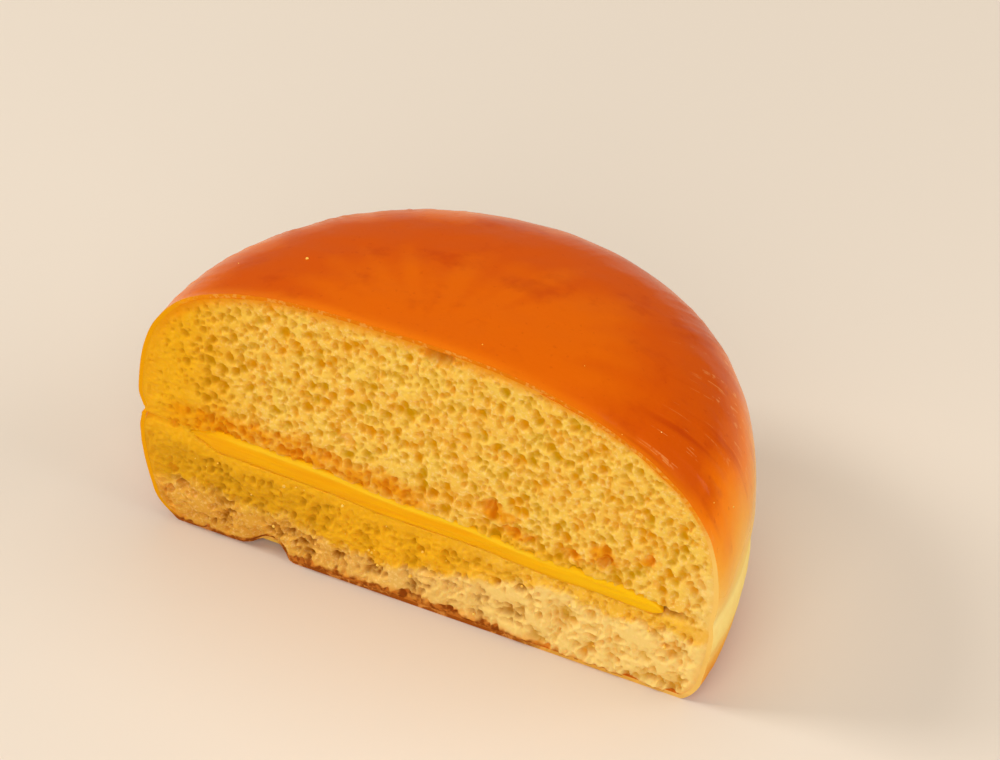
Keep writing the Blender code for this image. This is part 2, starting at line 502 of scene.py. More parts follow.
@dataclass(frozen=True)
class TornEdge:
    """What the knife tore out of the face: the base edge toward -X, a chip, and a hollow.

    The chip is pushed back and lifted off the plate.
    """

    depth: float = 0.8 * MM
    height: float = 6 * MM
    reach: float = 9 * MM
    ragged: float = 1.1 * MM
    ragged_scale: float = 2.6 * MM
    chip: Scoop = Scoop(-28.6 * MM, 0.2 * MM, 4.8 * MM, 1.3 * MM)
    lift: float = 1.6 * MM
    lift_reach: float = 3.4 * MM
    lift_height: float = 6.5 * MM
    lift_seed: float = 5 * MM
    hollow: Scoop = Scoop(2.8 * MM, 53.2 * MM, 2.9 * MM, 2.2 * MM)

    def at(self, x: float, z: float) -> float:
        """How far the base edge is set back at a point of the cut face."""
        past_chip = smooth_step(self.chip.x + self.chip.radius, self.chip.x, x)
        low_down = smooth_step(self.height, 0, z)
        wander = noise.noise_vector(Vector((x, 0, z)) / self.ragged_scale) * self.ragged
        return self.depth * past_chip * low_down + self.chip.at(x + wander.x, z + wander.z)

    def lifted(self, x: float, z: float) -> float:
        """How far the chip lifts a point of the cut face."""
        place = Vector((x, self.lift_seed, z))
        wander = noise.noise(place / self.ragged_scale) * self.ragged
        across = (x + wander - self.chip.x) / self.lift_reach
        return self.lift * max(1 - across * across, 0) * max(1 - z / self.lift_height, 0)

    def pushed(self, place: Vector) -> Vector:
        """The point moved with the torn edge, less the further it lies from the cut."""
        share = 1 - place.y / self.reach
        if share <= 0:
            return place
        up = self.lifted(place.x, place.z) * max(1 - place.y / self.lift_reach, 0)
        return place + Vector((0, self.at(place.x, place.z) * share, up))


TORN = TornEdge()


# --- pieces ----------------------------------------------------------------------------------


@dataclass(frozen=True)
class Placement:
    """The shift from the cut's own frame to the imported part's."""

    shift: Vector
    end_turn: float = 0.04
    end_elevations: Iterable[int] = range(-40, 30, 2)
    merge_distance: float = 0.002 * MM
    sharp_from: float = math.radians(50)

    @classmethod
    def measured(cls) -> Placement:
        """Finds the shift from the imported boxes.

        Returns:
            The placement: x from the middle of the bread, y from the butter's cut face.
        """
        samples = [
            FORM.weathered(FORM.skin_place(turn, elevation), turn).x
            for turn in (0.0, cls.end_turn, math.pi - cls.end_turn, math.pi)
            for elevation in cls.end_elevations
        ]
        bread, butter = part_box("bun"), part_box("butter")
        x = (bread[0].x + bread[1].x) / 2 - (min(samples) + max(samples)) / 2
        return cls(Vector((x, butter[0].y, 0)))

    def settle(
        self, name: str, shape: Shape, finishes: Iterable[bpy.types.Material]
    ) -> bpy.types.Object:
        """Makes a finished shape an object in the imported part's frame.

        Args:
            name: The piece's name.
            shape: Its shape in the cut's own frame, which is used up.
            finishes: Materials, in the order of the faces' material numbers.

        Returns:
            The object, at the origin, riding on the part's one body.
        """
        bmesh.ops.remove_doubles(shape, verts=shape.verts, dist=self.merge_distance)
        loose = [corner for corner in shape.verts if not corner.link_faces]
        bmesh.ops.delete(shape, geom=loose, context="VERTS")
        bmesh.ops.recalc_face_normals(shape, faces=shape.faces)
        bmesh.ops.translate(shape, verts=shape.verts, vec=self.shift)
        piece = add_object(name, shape)
        piece.data.shade_smooth()
        piece.data.set_sharp_from_angle(angle=self.sharp_from)
        for finish in finishes:
            piece.data.materials.append(finish)
        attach(piece, "root")
        return piece


@dataclass(frozen=True)
class Crust:
    """The baked skin: one shell round both leaves, open at the cut and along the slit."""

    cuts: int = 124
    thickness: float = 0.75 * MM
    # Width of the band by the cut where the dome is painted lighter, a painted sheen.
    glow: float = 1.7 * MM
    band: float = 3 * MM
    fold: Drift = Drift(0.5 * MM, 5, 2)
    fold_edge: Fade = Fade(0.9, -0.9)

    dome_from: Fade = Fade(-1, 4)
    dimples: Drift = Drift(0.10 * MM, 5)
    wrinkle: float = 0.13 * MM
    wrinkle_pitch: float = 2.6 * MM
    wrinkle_length: float = 17 * MM
    wrinkle_width: float = 0.2
    wrinkle_low: Fade = Fade(3, 11)
    wrinkle_high: Fade = Fade(31, 21)
    patches: Drift = Drift(1, 19, 6)
    patch_edge: Fade = Fade(-0.05, 0.3, 1)
    pebbles: Drift = Drift(0.10 * MM, 2.4, 9)
    off_base: Fade = Fade(0, 1)

    paler_left: float = 0.12
    left: Fade = Fade(12, -14)
    below_top: Fade = Fade(0.97, 0.82, 1)
    lobe: float = 0.085
    lobe_pitch: float = 8 * MM
    lobe_length: float = 30 * MM
    lobe_seed: float = 4
    broad: Drift = Drift(0.05, 24, 7)

    @staticmethod
    def unrolled(place: Vector, pitch: float, length: float, seed: float = 0) -> float:
        """Noise in upright streaks: their width round the bun, their length, and a seed."""
        turn = math.atan2(place.y, place.x)
        return noise.noise(Vector((turn * FORM.radius / pitch, place.z / length, seed)))

    def detail(self, place: Vector) -> float:
        """How far the skin stands out at a point.

        Args:
            place: A point of the plain form.

        Returns:
            The height of dimples and stretch wrinkles on the dome, and of pebbling on the heel.
        """
        over = FORM.over_slit(place)
        wave = self.unrolled(place, self.wrinkle_pitch, self.wrinkle_length)
        line = max(1 - abs(wave) / self.wrinkle_width, 0)
        zone = self.wrinkle_low(over) * self.wrinkle_high(over)
        line *= zone * self.patch_edge(self.patches.at(place))
        dome = self.dimples.at(place) + line * self.wrinkle
        heel = self.pebbles.at(place) * self.off_base(place.z)
        return blend(heel, dome, self.dome_from(over))

    def browning(self, place: Vector) -> float:
        """How brown the dome is baked, 0 at the pale side and 1 at the top."""
        over = FORM.over_slit(place) / (FORM.height - FORM.layer)
        over -= self.paler_left * self.left(place.x) * self.below_top(over)
        over += self.lobe * self.unrolled(
            place, self.lobe_pitch, self.lobe_length, self.lobe_seed
        )
        return min(max(over + self.broad.at(place), 0), 1)

    def by_slit(self, place: Vector) -> bool:
        """Whether a point lies by the slit, where the knife passed."""
        return abs(FORM.over_slit(place)) < self.band and FORM.open_distance(place) > 0

    def open_slit(self, shape: Shape) -> None:
        """Cuts the slit through the skin, from the rim to the hinge.

        Args:
            shape: The half's skin.
        """
        planes = {side: FORM.slit_plane(side) for side in Side}
        for point, normal in planes.values():
            near = [face for face in shape.faces if self.by_slit(face.calc_center_median())]
            corners = dict.fromkeys(corner for face in near for corner in face.verts)
            edges = dict.fromkeys(edge for face in near for edge in face.edges)
            geometry = [*corners, *edges, *near]
            bmesh.ops.bisect_plane(shape, geom=geometry, plane_co=point, plane_no=normal)

        def between(face: bmesh.types.BMFace) -> bool:
            """Whether a face lies in the knife's path."""
            middle = face.calc_center_median()
            gaps = {side: (middle - point).dot(normal) for side, (point, normal) in planes.items()}
            return FORM.open_distance(middle) > 0 and gaps[Side.CROWN] < 0 < gaps[Side.HEEL]

        spare = [face for face in shape.faces if between(face)]
        bmesh.ops.delete(shape, geom=spare, context="FACES")

    def build(self) -> tuple[Shape, CutOutline]:
        """Makes the shell.

        Returns:
            The closed shell, with its cut edges as material 1, and the outline of the cut.
        """
        shape = FORM.half(self.cuts, 0, self.detail)
        cut(shape, Vector(), BACKWARD, Side.CROWN)
        outline = CutOutline(c.co for c in shape.verts if c.is_boundary and c.co.y < HAIR)
        self.open_slit(shape)
        brown = shape.verts.layers.float.new("browning")
        heel = shape.verts.layers.float.new("heel")
        near_cut = shape.verts.layers.float.new("near_cut")
        home = shape.verts.layers.float_vector.new("home")
        for corner in shape.verts:
            over = FORM.over_slit(corner.co)
            corner[brown] = self.browning(corner.co)
            # Painted sheen: near_cut lightens the dome in a band along the cut.
            corner[near_cut] = bell(corner.co.y, self.glow)
            corner[heel] = self.fold_edge(over + self.fold.at(corner.co))
            corner.co = TORN.pushed(FORM.lipped(corner.co))
            corner[home] = corner.co
        bmesh.ops.recalc_face_normals(shape, faces=shape.faces)
        made = bmesh.ops.solidify(shape, geom=shape.faces[:], thickness=self.thickness)["geom"]
        inner = {item for item in made if isinstance(item, bmesh.types.BMVert)}
        for corner in inner:
            # Solidify leaves points of a quite flat face where they were.
            if corner[home].z < HAIR and corner.co.z < self.thickness / 2:
                corner.co = corner[home] + Vector((0, 0, self.thickness))
            if corner[home].y < HAIR:
                corner.co.y = corner[home].y
        for face in shape.faces:
            count = sum(corner in inner for corner in face.verts)
            face.material_index = 1 if 0 < count < len(face.verts) else 0
        shape.verts.layers.float_vector.remove(home)
        return shape, outline


@dataclass(frozen=True)
class CrumbBody:
    """The crumb that fills one leaf of the bread behind the cut face."""

    side: Side
    cuts: int = 56
    inset: float = 0.7 * MM
    behind: float = 2.4 * MM
    ledge_ring: float = 0.8 * MM
    ring_middle: float = 20 * MM
    ledge_rings: int = 6
    ledge_relief: Drift = Drift(0.22 * MM, 1.3, 4)

    def build(self) -> Shape:
        """Makes the closed body, with rough rings where the slit shows it.

        Returns:
            The body's shape.
        """
        shape = FORM.half(self.cuts, self.inset)
        cut(shape, Vector((0, self.behind, 0)), BACKWARD, Side.CROWN)
        self.close(shape)
        point, normal = FORM.slit_plane(self.side)
        cut(shape, point, normal, self.side)
        cap = self.close(shape)
        for _ in range(self.ledge_rings):
            cap = bmesh.ops.extrude_discrete_faces(shape, faces=cap)["faces"]
            for corner in cap[0].verts:
                inward = Vector((-corner.co.x, self.ring_middle - corner.co.y, 0)).normalized()
                inward.z = (normal.x * inward.x + normal.y * inward.y) / -normal.z
                corner.co += inward * self.ledge_ring
        for corner in shape.verts:
            on_ledge = abs((corner.co - point).dot(normal)) < HAIR
            relief = self.ledge_relief.at(corner.co) if on_ledge else 0.0
            corner.co = FORM.lipped(corner.co)
            corner.co.z += relief
        return shape

    @staticmethod
    def close(shape: Shape) -> list[bmesh.types.BMFace]:
        """Fills the one open loop of a shape and gives the new face."""
        rim = [edge for edge in shape.edges if edge.is_boundary]
        return bmesh.ops.edgeloop_fill(shape, edges=rim)["faces"]


@dataclass(frozen=True)
class Bubbles:
    """One size of gas bubble in the crumb; the knife opens those that cross the cut plane."""

    spacing: float
    smallest: float
    largest: float
    share: float
    shift: float
    flatness: float = 0.85
    stretch: float = 0.84
    luck_step: float = 7.31

    def depth(self, x: float, z: float, tight: float) -> float:
        """How deep the opened bubbles go at a point of the face, as soft bowls.

        Args:
            x: Place along the face.
            z: Height on the face.
            tight: Share of their size that the bubbles keep here.

        Returns:
            The depth of the deepest one, or 0.
        """
        spot = Vector((x / self.spacing, 0, z / self.spacing * self.stretch))
        spot += Vector((self.shift, self.shift / 3, -self.shift))
        deepest = 0.0
        for centre in noise.voronoi(spot)[1]:
            luck = (noise.cell(centre * self.luck_step) + 1) / 2
            if luck > self.share:
                continue
            size = blend(self.smallest, self.largest, luck / self.share) * tight
            across = (spot.x - centre.x) ** 2 + (spot.z - centre.z) ** 2
            opening = size * size - (spot.y - centre.y) ** 2
            if across < opening:
                deepest = max(deepest, math.sqrt(opening) * (1 - across / opening))
        return deepest * self.spacing * self.flatness


@dataclass(frozen=True)
class SoakedSpot:
    """A soft patch of the face: most are crumb above the butter that has soaked it up, one is
    painted shade in a hollow.
    """

    x: float
    z: float
    wide: float
    high: float

    def at(self, x: float, z: float) -> float:
        """How soaked the crumb is at a point, 0 to 1."""
        across, up = (x - self.x) / self.wide, (z - self.z) / self.high
        return math.exp(-(across * across + up * up) ** 2)


@dataclass(frozen=True)
class TornLine:
    """The ragged line over the heel, where golden crumb gives way to pale torn crumb."""

    height: float = 9.2 * MM
    ragged: Drift = Drift(1.6 * MM, 2.4, 11)
    rolling: Drift = Drift(1.2 * MM, 9, 4)
    rise: float = 3.4 * MM
    rise_span: Fade = Fade(2, 20)
    dip: float = 3.0 * MM
    dip_at: float = -11 * MM
    dip_width: float = 11 * MM

    def over(self, x: float, z: float) -> float:
        """Height of a point of the face over the line."""
        line = self.height + self.rise * self.rise_span(x)
        line -= self.dip * bell(x - self.dip_at, self.dip_width)
        return z - line - self.rolling.on_face(x) - self.ragged.on_face(x, z)


TORN_LINE = TornLine()


@dataclass(frozen=True)
class FaceRelief:
    """How deep the cut face is: opened bubbles, torn lumps, the butter's bed and crevices."""

    outline: CutOutline
    inset: float
    flush: float = 0.03 * MM
    deepest: float = 2.9 * MM
    proudest: float = 0.5 * MM
    rim: Fade = Fade(0, 1.3)
    fuzz: tuple[Drift, ...] = (Drift(0.17 * MM, 0.7, 3), Drift(0.22 * MM, 2.6))
    shade_bubble: float = 0.72 * MM
    shade_torn: float = 0.9 * MM

    crown_bubbles: tuple[Bubbles, ...] = (
        Bubbles(2.9 * MM, 0.24, 0.40, 0.25, 2.3),
        Bubbles(1.75 * MM, 0.36, 0.60, 0.85, 5.1),
        Bubbles(1.15 * MM, 0.38, 0.62, 0.92, 8.7),
    )
    heel_bubbles: tuple[Bubbles, ...] = (
        Bubbles(1.9 * MM, 0.30, 0.50, 0.50, 12.3),
        Bubbles(1.1 * MM, 0.36, 0.60, 0.80, 15.9),
    )
    heel_from: float = -1 * MM
    warp: float = 0.42 * MM
    warp_scale: float = 1.3 * MM
    tight: Drift = Drift(0.12, 11, 1, 1.0)
    tight_by_crust: float = 0.66
    by_crust: Fade = Fade(0.5, 5)
    tight_left: float = 0.55
    left: Fade = Fade(-45, -37)
    smear: float = 0.6
    smear_top: Fade = Fade(-1, 0)
    smear_foot: Fade = Fade(2.4, 0.8)
    smear_along: Fade = Fade(30, 5)
    pits: tuple[Scoop, ...] = each_of(
        Scoop,
        (11.3, 25.9, 1.5, 1.5),
        (24.6, 21.5, 1.1, 1.1),
        (38.7, 25.9, 1.1, 1.2),
        (14.6, 22.6, 0.9, 0.9),
        (30.9, 22.2, 1.2, 1.2),
        (39.8, 21.7, 0.8, 0.9),
        (-13.4, 29.6, 1.3, 1.5),
        (-44.9, 21.0, 1.0, 1.2),
        (-45.4, 11.6, 1.1, 1.3),
        (-43.6, 8.9, 1.3, 1.2),
        (-46.0, 7.2, 0.9, 1.1),
        (-38.6, 10.2, 0.8, 0.8),
        (-34.0, 9.4, 0.9, 0.7),
    )

    lump: float = 1.2 * MM
    lump_scale: float = 3.8 * MM
    lump_offset: tuple[float, float, float] = (7, 0, 3)
    flake: float = 1.4 * MM
    flake_scale: float = 1.5 * MM
    flake_offset: tuple[float, float, float] = (1, 5, 2)
    torn_level: float = 0.5 * MM
    torn_from: Fade = Fade(0, 3)
    torn_above: float = 0.4
    torn_edge: Fade = Fade(1.5, -0.5)

    bed: float = 2.4 * MM
    bed_overlap: float = 0.4 * MM
    bed_edge: Fade = Fade(0.25, -0.25)
    bed_left: Fade = Fade(-42, -40)
    bed_right: Fade = Fade(41.5, 40)

    crevice_height: float = 0.5 * MM
    crevice_wander: Drift = Drift(0.7 * MM, 1.5)
    left_crevice: float = 0.7 * MM
    left_crevice_from: Fade = Fade(-42, -44.5)
    right_crevice: float = 1.6 * MM
    right_crevice_from: Fade = Fade(39.5, 41)
    right_crevice_to: Fade = Fade(46.5, 42.5)

    def bubbles(self, x: float, z: float) -> float:
        """Depth of the opened bubbles at a point of the face."""
        warp = noise.noise_vector(Vector((x, 0, z)) / self.warp_scale) * self.warp
        x, z = x + warp.x, z + warp.z
        under = FORM.under_butter(x, z)
        smeared = self.smear_top(under) * self.smear_foot(under) * self.smear_along(x)
        tight = self.tight.on_face(x, z) * (1 - self.smear * smeared)
        tight *= blend(self.tight_by_crust, 1.0, self.by_crust(self.outline.inside(x, z)))
        tight *= blend(self.tight_left, 1.0, self.left(x))
        family = self.heel_bubbles if under > self.heel_from else self.crown_bubbles
        return max(size.depth(x, z, tight) for size in family)

    def torn(self, x: float, z: float) -> float:
        """Relief of the torn crumb under the butter, whose lumps stand a little proud."""
        spot = Vector((x, 0, z))
        lumps = noise.noise(spot / self.lump_scale + Vector(self.lump_offset)) * self.lump
        flakes = abs(noise.noise(spot / self.flake_scale + Vector(self.flake_offset)))
        depth = lumps + flakes * self.flake - self.torn_level
        depth *= self.torn_from(FORM.under_butter(x, z))
        return depth * blend(self.torn_above, 1.0, self.torn_edge(TORN_LINE.over(x, z)))

    def butter_bed(self, x: float, z: float) -> float:
        """How far the crumb is hollowed where the butter lies."""
        middle, half = FORM.face_band(x)
        away = abs(z - middle) - half + self.bed_overlap
        return self.bed * self.bed_edge(away) * self.bed_left(x) * self.bed_right(x)

    def crevice(self, x: float, z: float) -> float:
        """Depth of the crevices past both ends of the butter."""
        away = z - FORM.face_band(x)[0]
        left = bell(away, self.crevice_height) * self.left_crevice_from(x)
        right = bell(away + self.crevice_wander.on_face(x), self.crevice_height)
        right *= self.right_crevice_from(x) * self.right_crevice_to(x)
        return left * self.left_crevice + right * self.right_crevice

    def at(self, x: float, z: float) -> tuple[float, float]:
        """The surface of the face at a point.

        Args:
            x: Place along the face.
            z: Height on the face.

        Returns:
            How far it lies behind the cut plane, and how deep it is in a bubble, 0 to 1, which is
            painted as shade in the pits.
        """
        inward = self.rim(self.outline.inside(x, z) - self.inset)
        bubble, torn = self.bubbles(x, z), self.torn(x, z)
        depth = bubble + torn + sum(part.on_face(x, z) for part in self.fuzz)
        depth += sum(pit.at(x, z) for pit in self.pits)
        bed = self.butter_bed(x, z)
        depth = blend(depth, bed, bed / self.bed)
        depth = depth * inward + self.crevice(x, z) + TORN.hollow.at(x, z)
        # Painted shade: the deeper a point lies in a bubble or torn dip, the darker its pit is
        # coloured.
        shade = min(max(bubble / self.shade_bubble + torn / self.shade_torn, 0), 1) * inward
        return max(min(depth, self.deepest), -self.proudest) + self.flush, shade


@dataclass(frozen=True)
class FaceStains:
    """How the butter, the oven and the knife coloured the cut face, each from 0 to 1, with painted
    shade in its crevice and hollow and partly painted light at its left end and low heel.
    """

    relief: FaceRelief

    soaked_spots: tuple[SoakedSpot, ...] = each_of(
        SoakedSpot,
        (12.5, 25.2, 3.4, 1.7),
        (16.0, 22.2, 3.0, 1.2),
        (25.8, 21.5, 2.2, 1.1),
        (31, 23.4, 2.6, 2.2),
        (38.6, 25.4, 1.5, 1.3),
        # Painted shade: this last spot darkens the hollow under the crust at the top; it is not
        # soaked crumb.
        (2.8, 52.9, 2.6, 1.9),
    )
    spot_warp: float = 1.5 * MM
    spot_warp_scale: float = 1.4 * MM
    band_ragged: Drift = Drift(2.2 * MM, 2.6, 6)
    band_top: Fade = Fade(5.8, 2.6)
    band_break: Drift = Drift(1, 1.7, 9)
    band_break_edge: Fade = Fade(-0.4, 0.2, 1)
    band_broken: float = 0.55
    band_left: Fade = Fade(-48, -43)
    band_right: Fade = Fade(5, -3)
    soaked_foot: Fade = Fade(-0.6, 0.2)

    golden_ragged: Drift = Drift(2.2 * MM, 4, 2)
    golden_left: Fade = Fade(-25, -43)
    left_foot: Fade = Fade(4, 1)
    golden_low_left: Fade = Fade(-12, -34)
    low_left_foot: Fade = Fade(12, 5)
    golden_torn: Fade = Fade(-0.4, 1.4)
    golden_top: Fade = Fade(-2, 0)
    golden_right: Fade = Fade(0, 22)
    golden_right_share: float = 0.6
    smear: float = 0.8
    smear_top: Fade = Fade(3.2, 0.8)
    smear_left: Fade = Fade(4, 9)
    smear_right: Fade = Fade(38, 24)
    smear_foot: Fade = Fade(0, -0.4)

    pale_edge: Fade = Fade(0.9, -0.9)
    pale_along: Fade = Fade(-32, 26)
    pale_least: float = 0.08
    pale_corner: float = 0.7
    corner_from: Fade = Fade(43, 49)
    corner_top: Fade = Fade(30, 24)

    darker_heel_edge: Fade = Fade(0.8, -0.8)
    darker_heel_right: Fade = Fade(28, 6)
    darker_heel_low_left: float = 0.45
    darker_heel_left: Fade = Fade(-8, -26)
    darker_heel_foot: Fade = Fade(0, 3)

    scorch_wander: tuple[Drift, ...] = (Drift(1.1 * MM, 2.4, 13), Drift(0.7 * MM, 0.9))
    scorch_height: float = 0.5 * MM
    scorch_middle: float = 2.0 * MM
    middle_from: Fade = Fade(-29, -22)
    middle_to: Fade = Fade(22, 9)
    scorch_left: float = 0.6 * MM
    scorch_left_from: Fade = Fade(-24, -30)
    calm: float = 0.35
    scorch_edge: Fade = Fade(0.4, -0.3)
    # Strengths of the painted shade in the right crevice and in the hollow under the crust.
    crevice: float = 0.6
    crevice_shade_from: Fade = Fade(0, 10)
    hollow: float = 0.4

    rind_wander: Drift = Drift(0.5 * MM, 1.5, 14)
    rind_left: float = 3.0 * MM
    rind_right: float = 1.2 * MM
    rind_span: Fade = Fade(8, 44)
    rind_ends: float = 0.2
    rind_end_right: Fade = Fade(49, 41)
    rind_end_left: Fade = Fade(-50, -42)

    def soaked(self, x: float, z: float) -> float:
        """How orange the butter has made the crumb just above it, with one spot of painted shade
        in the hollow under the crust.
        """
        over = FORM.over_butter(x, z)
        band = self.band_top(over - self.band_ragged.on_face(x, z))
        broken = self.band_break_edge(self.band_break.on_face(x, z))
        band *= blend(self.band_broken, 1.0, broken) * self.band_left(x) * self.band_right(x)
        warp = noise.noise_vector(Vector((x, 2 * MM, z)) / self.spot_warp_scale)
        warp *= self.spot_warp
        spots = max(spot.at(x + warp.x, z + warp.z) for spot in self.soaked_spots)
        return max(band, spots) * self.soaked_foot(over)

    def golden(self, x: float, z: float) -> float:
        """How yellow the crumb is: stained by the butter under it and where it was smeared, and at
        the left end partly stained and partly painted bounce light and shade from the bun's other
        half.
        """
        under = FORM.under_butter(x, z)
        ragged = self.golden_ragged.on_face(x, z)
        # Painted light: the yellow of the left end and low left stands partly for bounce light and
        # shade from the bun's other half.
        left = self.golden_left(x + ragged) * self.left_foot(under)
        low_left = self.golden_low_left(x + ragged) * self.low_left_foot(under)
        below = self.golden_torn(TORN_LINE.over(x, z))
        below *= blend(1.0, self.golden_right_share, self.golden_right(x))
        smeared = self.smear * self.smear_top(FORM.over_butter(x, z) + ragged)
        smeared *= self.smear_left(x) * self.smear_right(x) * self.smear_foot(under)
        return max(left, max(below, low_left) * self.golden_top(under), smeared)

    def pale(self, x: float, z: float) -> float:
        """How pale the crumb is: low in the heel, most toward +X, and in that corner."""
        # Partly painted light: the low torn heel is its own paler crumb and is also painted paler,
        # as torn crumb standing proud and catching more light.
        low = self.pale_edge(TORN_LINE.over(x, z))
        low *= blend(self.pale_least, 1.0, self.pale_along(x))
        return max(low, self.pale_corner * self.corner_from(x) * self.corner_top(z))

    def darker_heel(self, x: float, z: float) -> float:
        """How much darker the torn heel is coloured, most toward -X; its pits take it most."""
        low = self.darker_heel_edge(TORN_LINE.over(x, z)) * self.darker_heel_right(x)
        left = self.darker_heel_left(x) * self.darker_heel_foot(FORM.under_butter(x, z))
        return max(low, self.darker_heel_low_left * left)

    def scorch_and_shade(self, x: float, z: float) -> float:
        """How brown the ragged line along the base is, with painted shade in the crevice past the
        butter's right end and in the hollow under the crust.
        """
        middle = self.middle_from(x) * self.middle_to(x)
        line = blend(self.scorch_height, self.scorch_middle, middle)
        line += self.scorch_left * self.scorch_left_from(x)
        wander = sum(part.on_face(x, z) for part in self.scorch_wander)
        line += wander * blend(self.calm, 1.0, middle)
        # Painted shade: the crevice past the butter and the hollow under the crust are coloured
        # darker by their depth.
        depth = min(self.relief.crevice(x, z) / self.relief.right_crevice, 1)
        crevice = self.crevice * depth * self.crevice_shade_from(x)
        hollow = self.hollow * TORN.hollow.at(x, z) / TORN.hollow.depth
        return max(self.scorch_edge(z - line), crevice, hollow)

    def rind(self, x: float, z: float) -> float:
        """How much the crumb takes the crust's colour near it."""
        to_crust = self.relief.outline.inside(x, z) - self.relief.inset
        to_crust += self.rind_wander.on_face(x, z)
        wide = blend(self.rind_left, self.rind_right, self.rind_span(x))
        ends = self.rind_end_right(x) * self.rind_end_left(x)
        return smooth_step(wide, 0.0, to_crust) * blend(self.rind_ends, 1.0, ends)


@dataclass(frozen=True)
class CrumbFace:
    """The cut face: a slab of crumb whose front has the relief and the stains."""

    outline: CutOutline
    cell: float = 0.235 * MM
    edge_cell: float = 0.55
    inset: float = 0.62 * MM
    backing: float = 3.6 * MM
    wide: float = 105 * MM
    high: float = 56 * MM
    under_base: float = 0.5 * MM
    stains: tuple[str, ...] = ("soaked", "golden", "pale", "darker_heel", "scorch_and_shade", "rind")

    def sheet(self) -> tuple[Shape, list[bmesh.types.BMEdge]]:
        """Makes the flat front, trimmed to the drawn-in outline.

        Returns:
            The sheet and the edges of its rim, whose points lie on the outline.
        """
        shape = bmesh.new()
        columns, rows = round(self.wide / self.cell), round(self.high / self.cell)
        bmesh.ops.create_grid(shape, x_segments=columns, y_segments=rows, size=0.5)
        for corner in shape.verts:
            z = (corner.co.y + 0.5) * self.high - self.under_base
            corner.co = Vector((corner.co.x * self.wide, 0, z))
        reach = self.inset - self.edge_cell * self.cell
        spare = [c for c in shape.verts if self.outline.inside(c.co.x, c.co.z) < reach]
        bmesh.ops.delete(shape, geom=spare, context="VERTS")
        bare = [edge for edge in shape.edges if not edge.link_faces]
        bmesh.ops.delete(shape, geom=bare, context="EDGES")
        rim = [edge for edge in shape.edges if edge.is_boundary]
        for corner in {corner for edge in rim for corner in edge.verts}:
            x, z = self.outline.on_ray(corner.co.x, corner.co.z, self.inset)
            corner.co = Vector((x, 0, z))
        return shape, rim

    def build(self) -> Shape:
        """Makes the slab.

        Returns:
            The closed slab, whose points carry how soaked, golden, pale or brown they are, with
            painted shade in its pits, crevice and hollow, and partly painted light at the left
            end.
        """
        relief = FaceRelief(self.outline, self.inset)
        stains = FaceStains(relief)
        shape, rim = self.sheet()
        layers = {name: shape.verts.layers.float.new(name) for name in self.stains}
        pit_shade = shape.verts.layers.float.new("pit_shade")
        for corner in shape.verts:
            x, z = corner.co.x, corner.co.z
            for name, layer in layers.items():
                corner[layer] = getattr(stains, name)(x, z)
            depth, corner[pit_shade] = relief.at(x, z)
            corner.co.y = depth + TORN.at(x, z)
            corner.co.z += TORN.lifted(x, z)
        back = bmesh.ops.extrude_edge_only(shape, edges=rim)["geom"]
        for item in back:
            if isinstance(item, bmesh.types.BMVert):
                item.co.y = self.backing + TORN.at(item.co.x, item.co.z)
        edges = [item for item in back if isinstance(item, bmesh.types.BMEdge)]
        bmesh.ops.holes_fill(shape, edges=[edge for edge in edges if edge.is_boundary])
        return shape


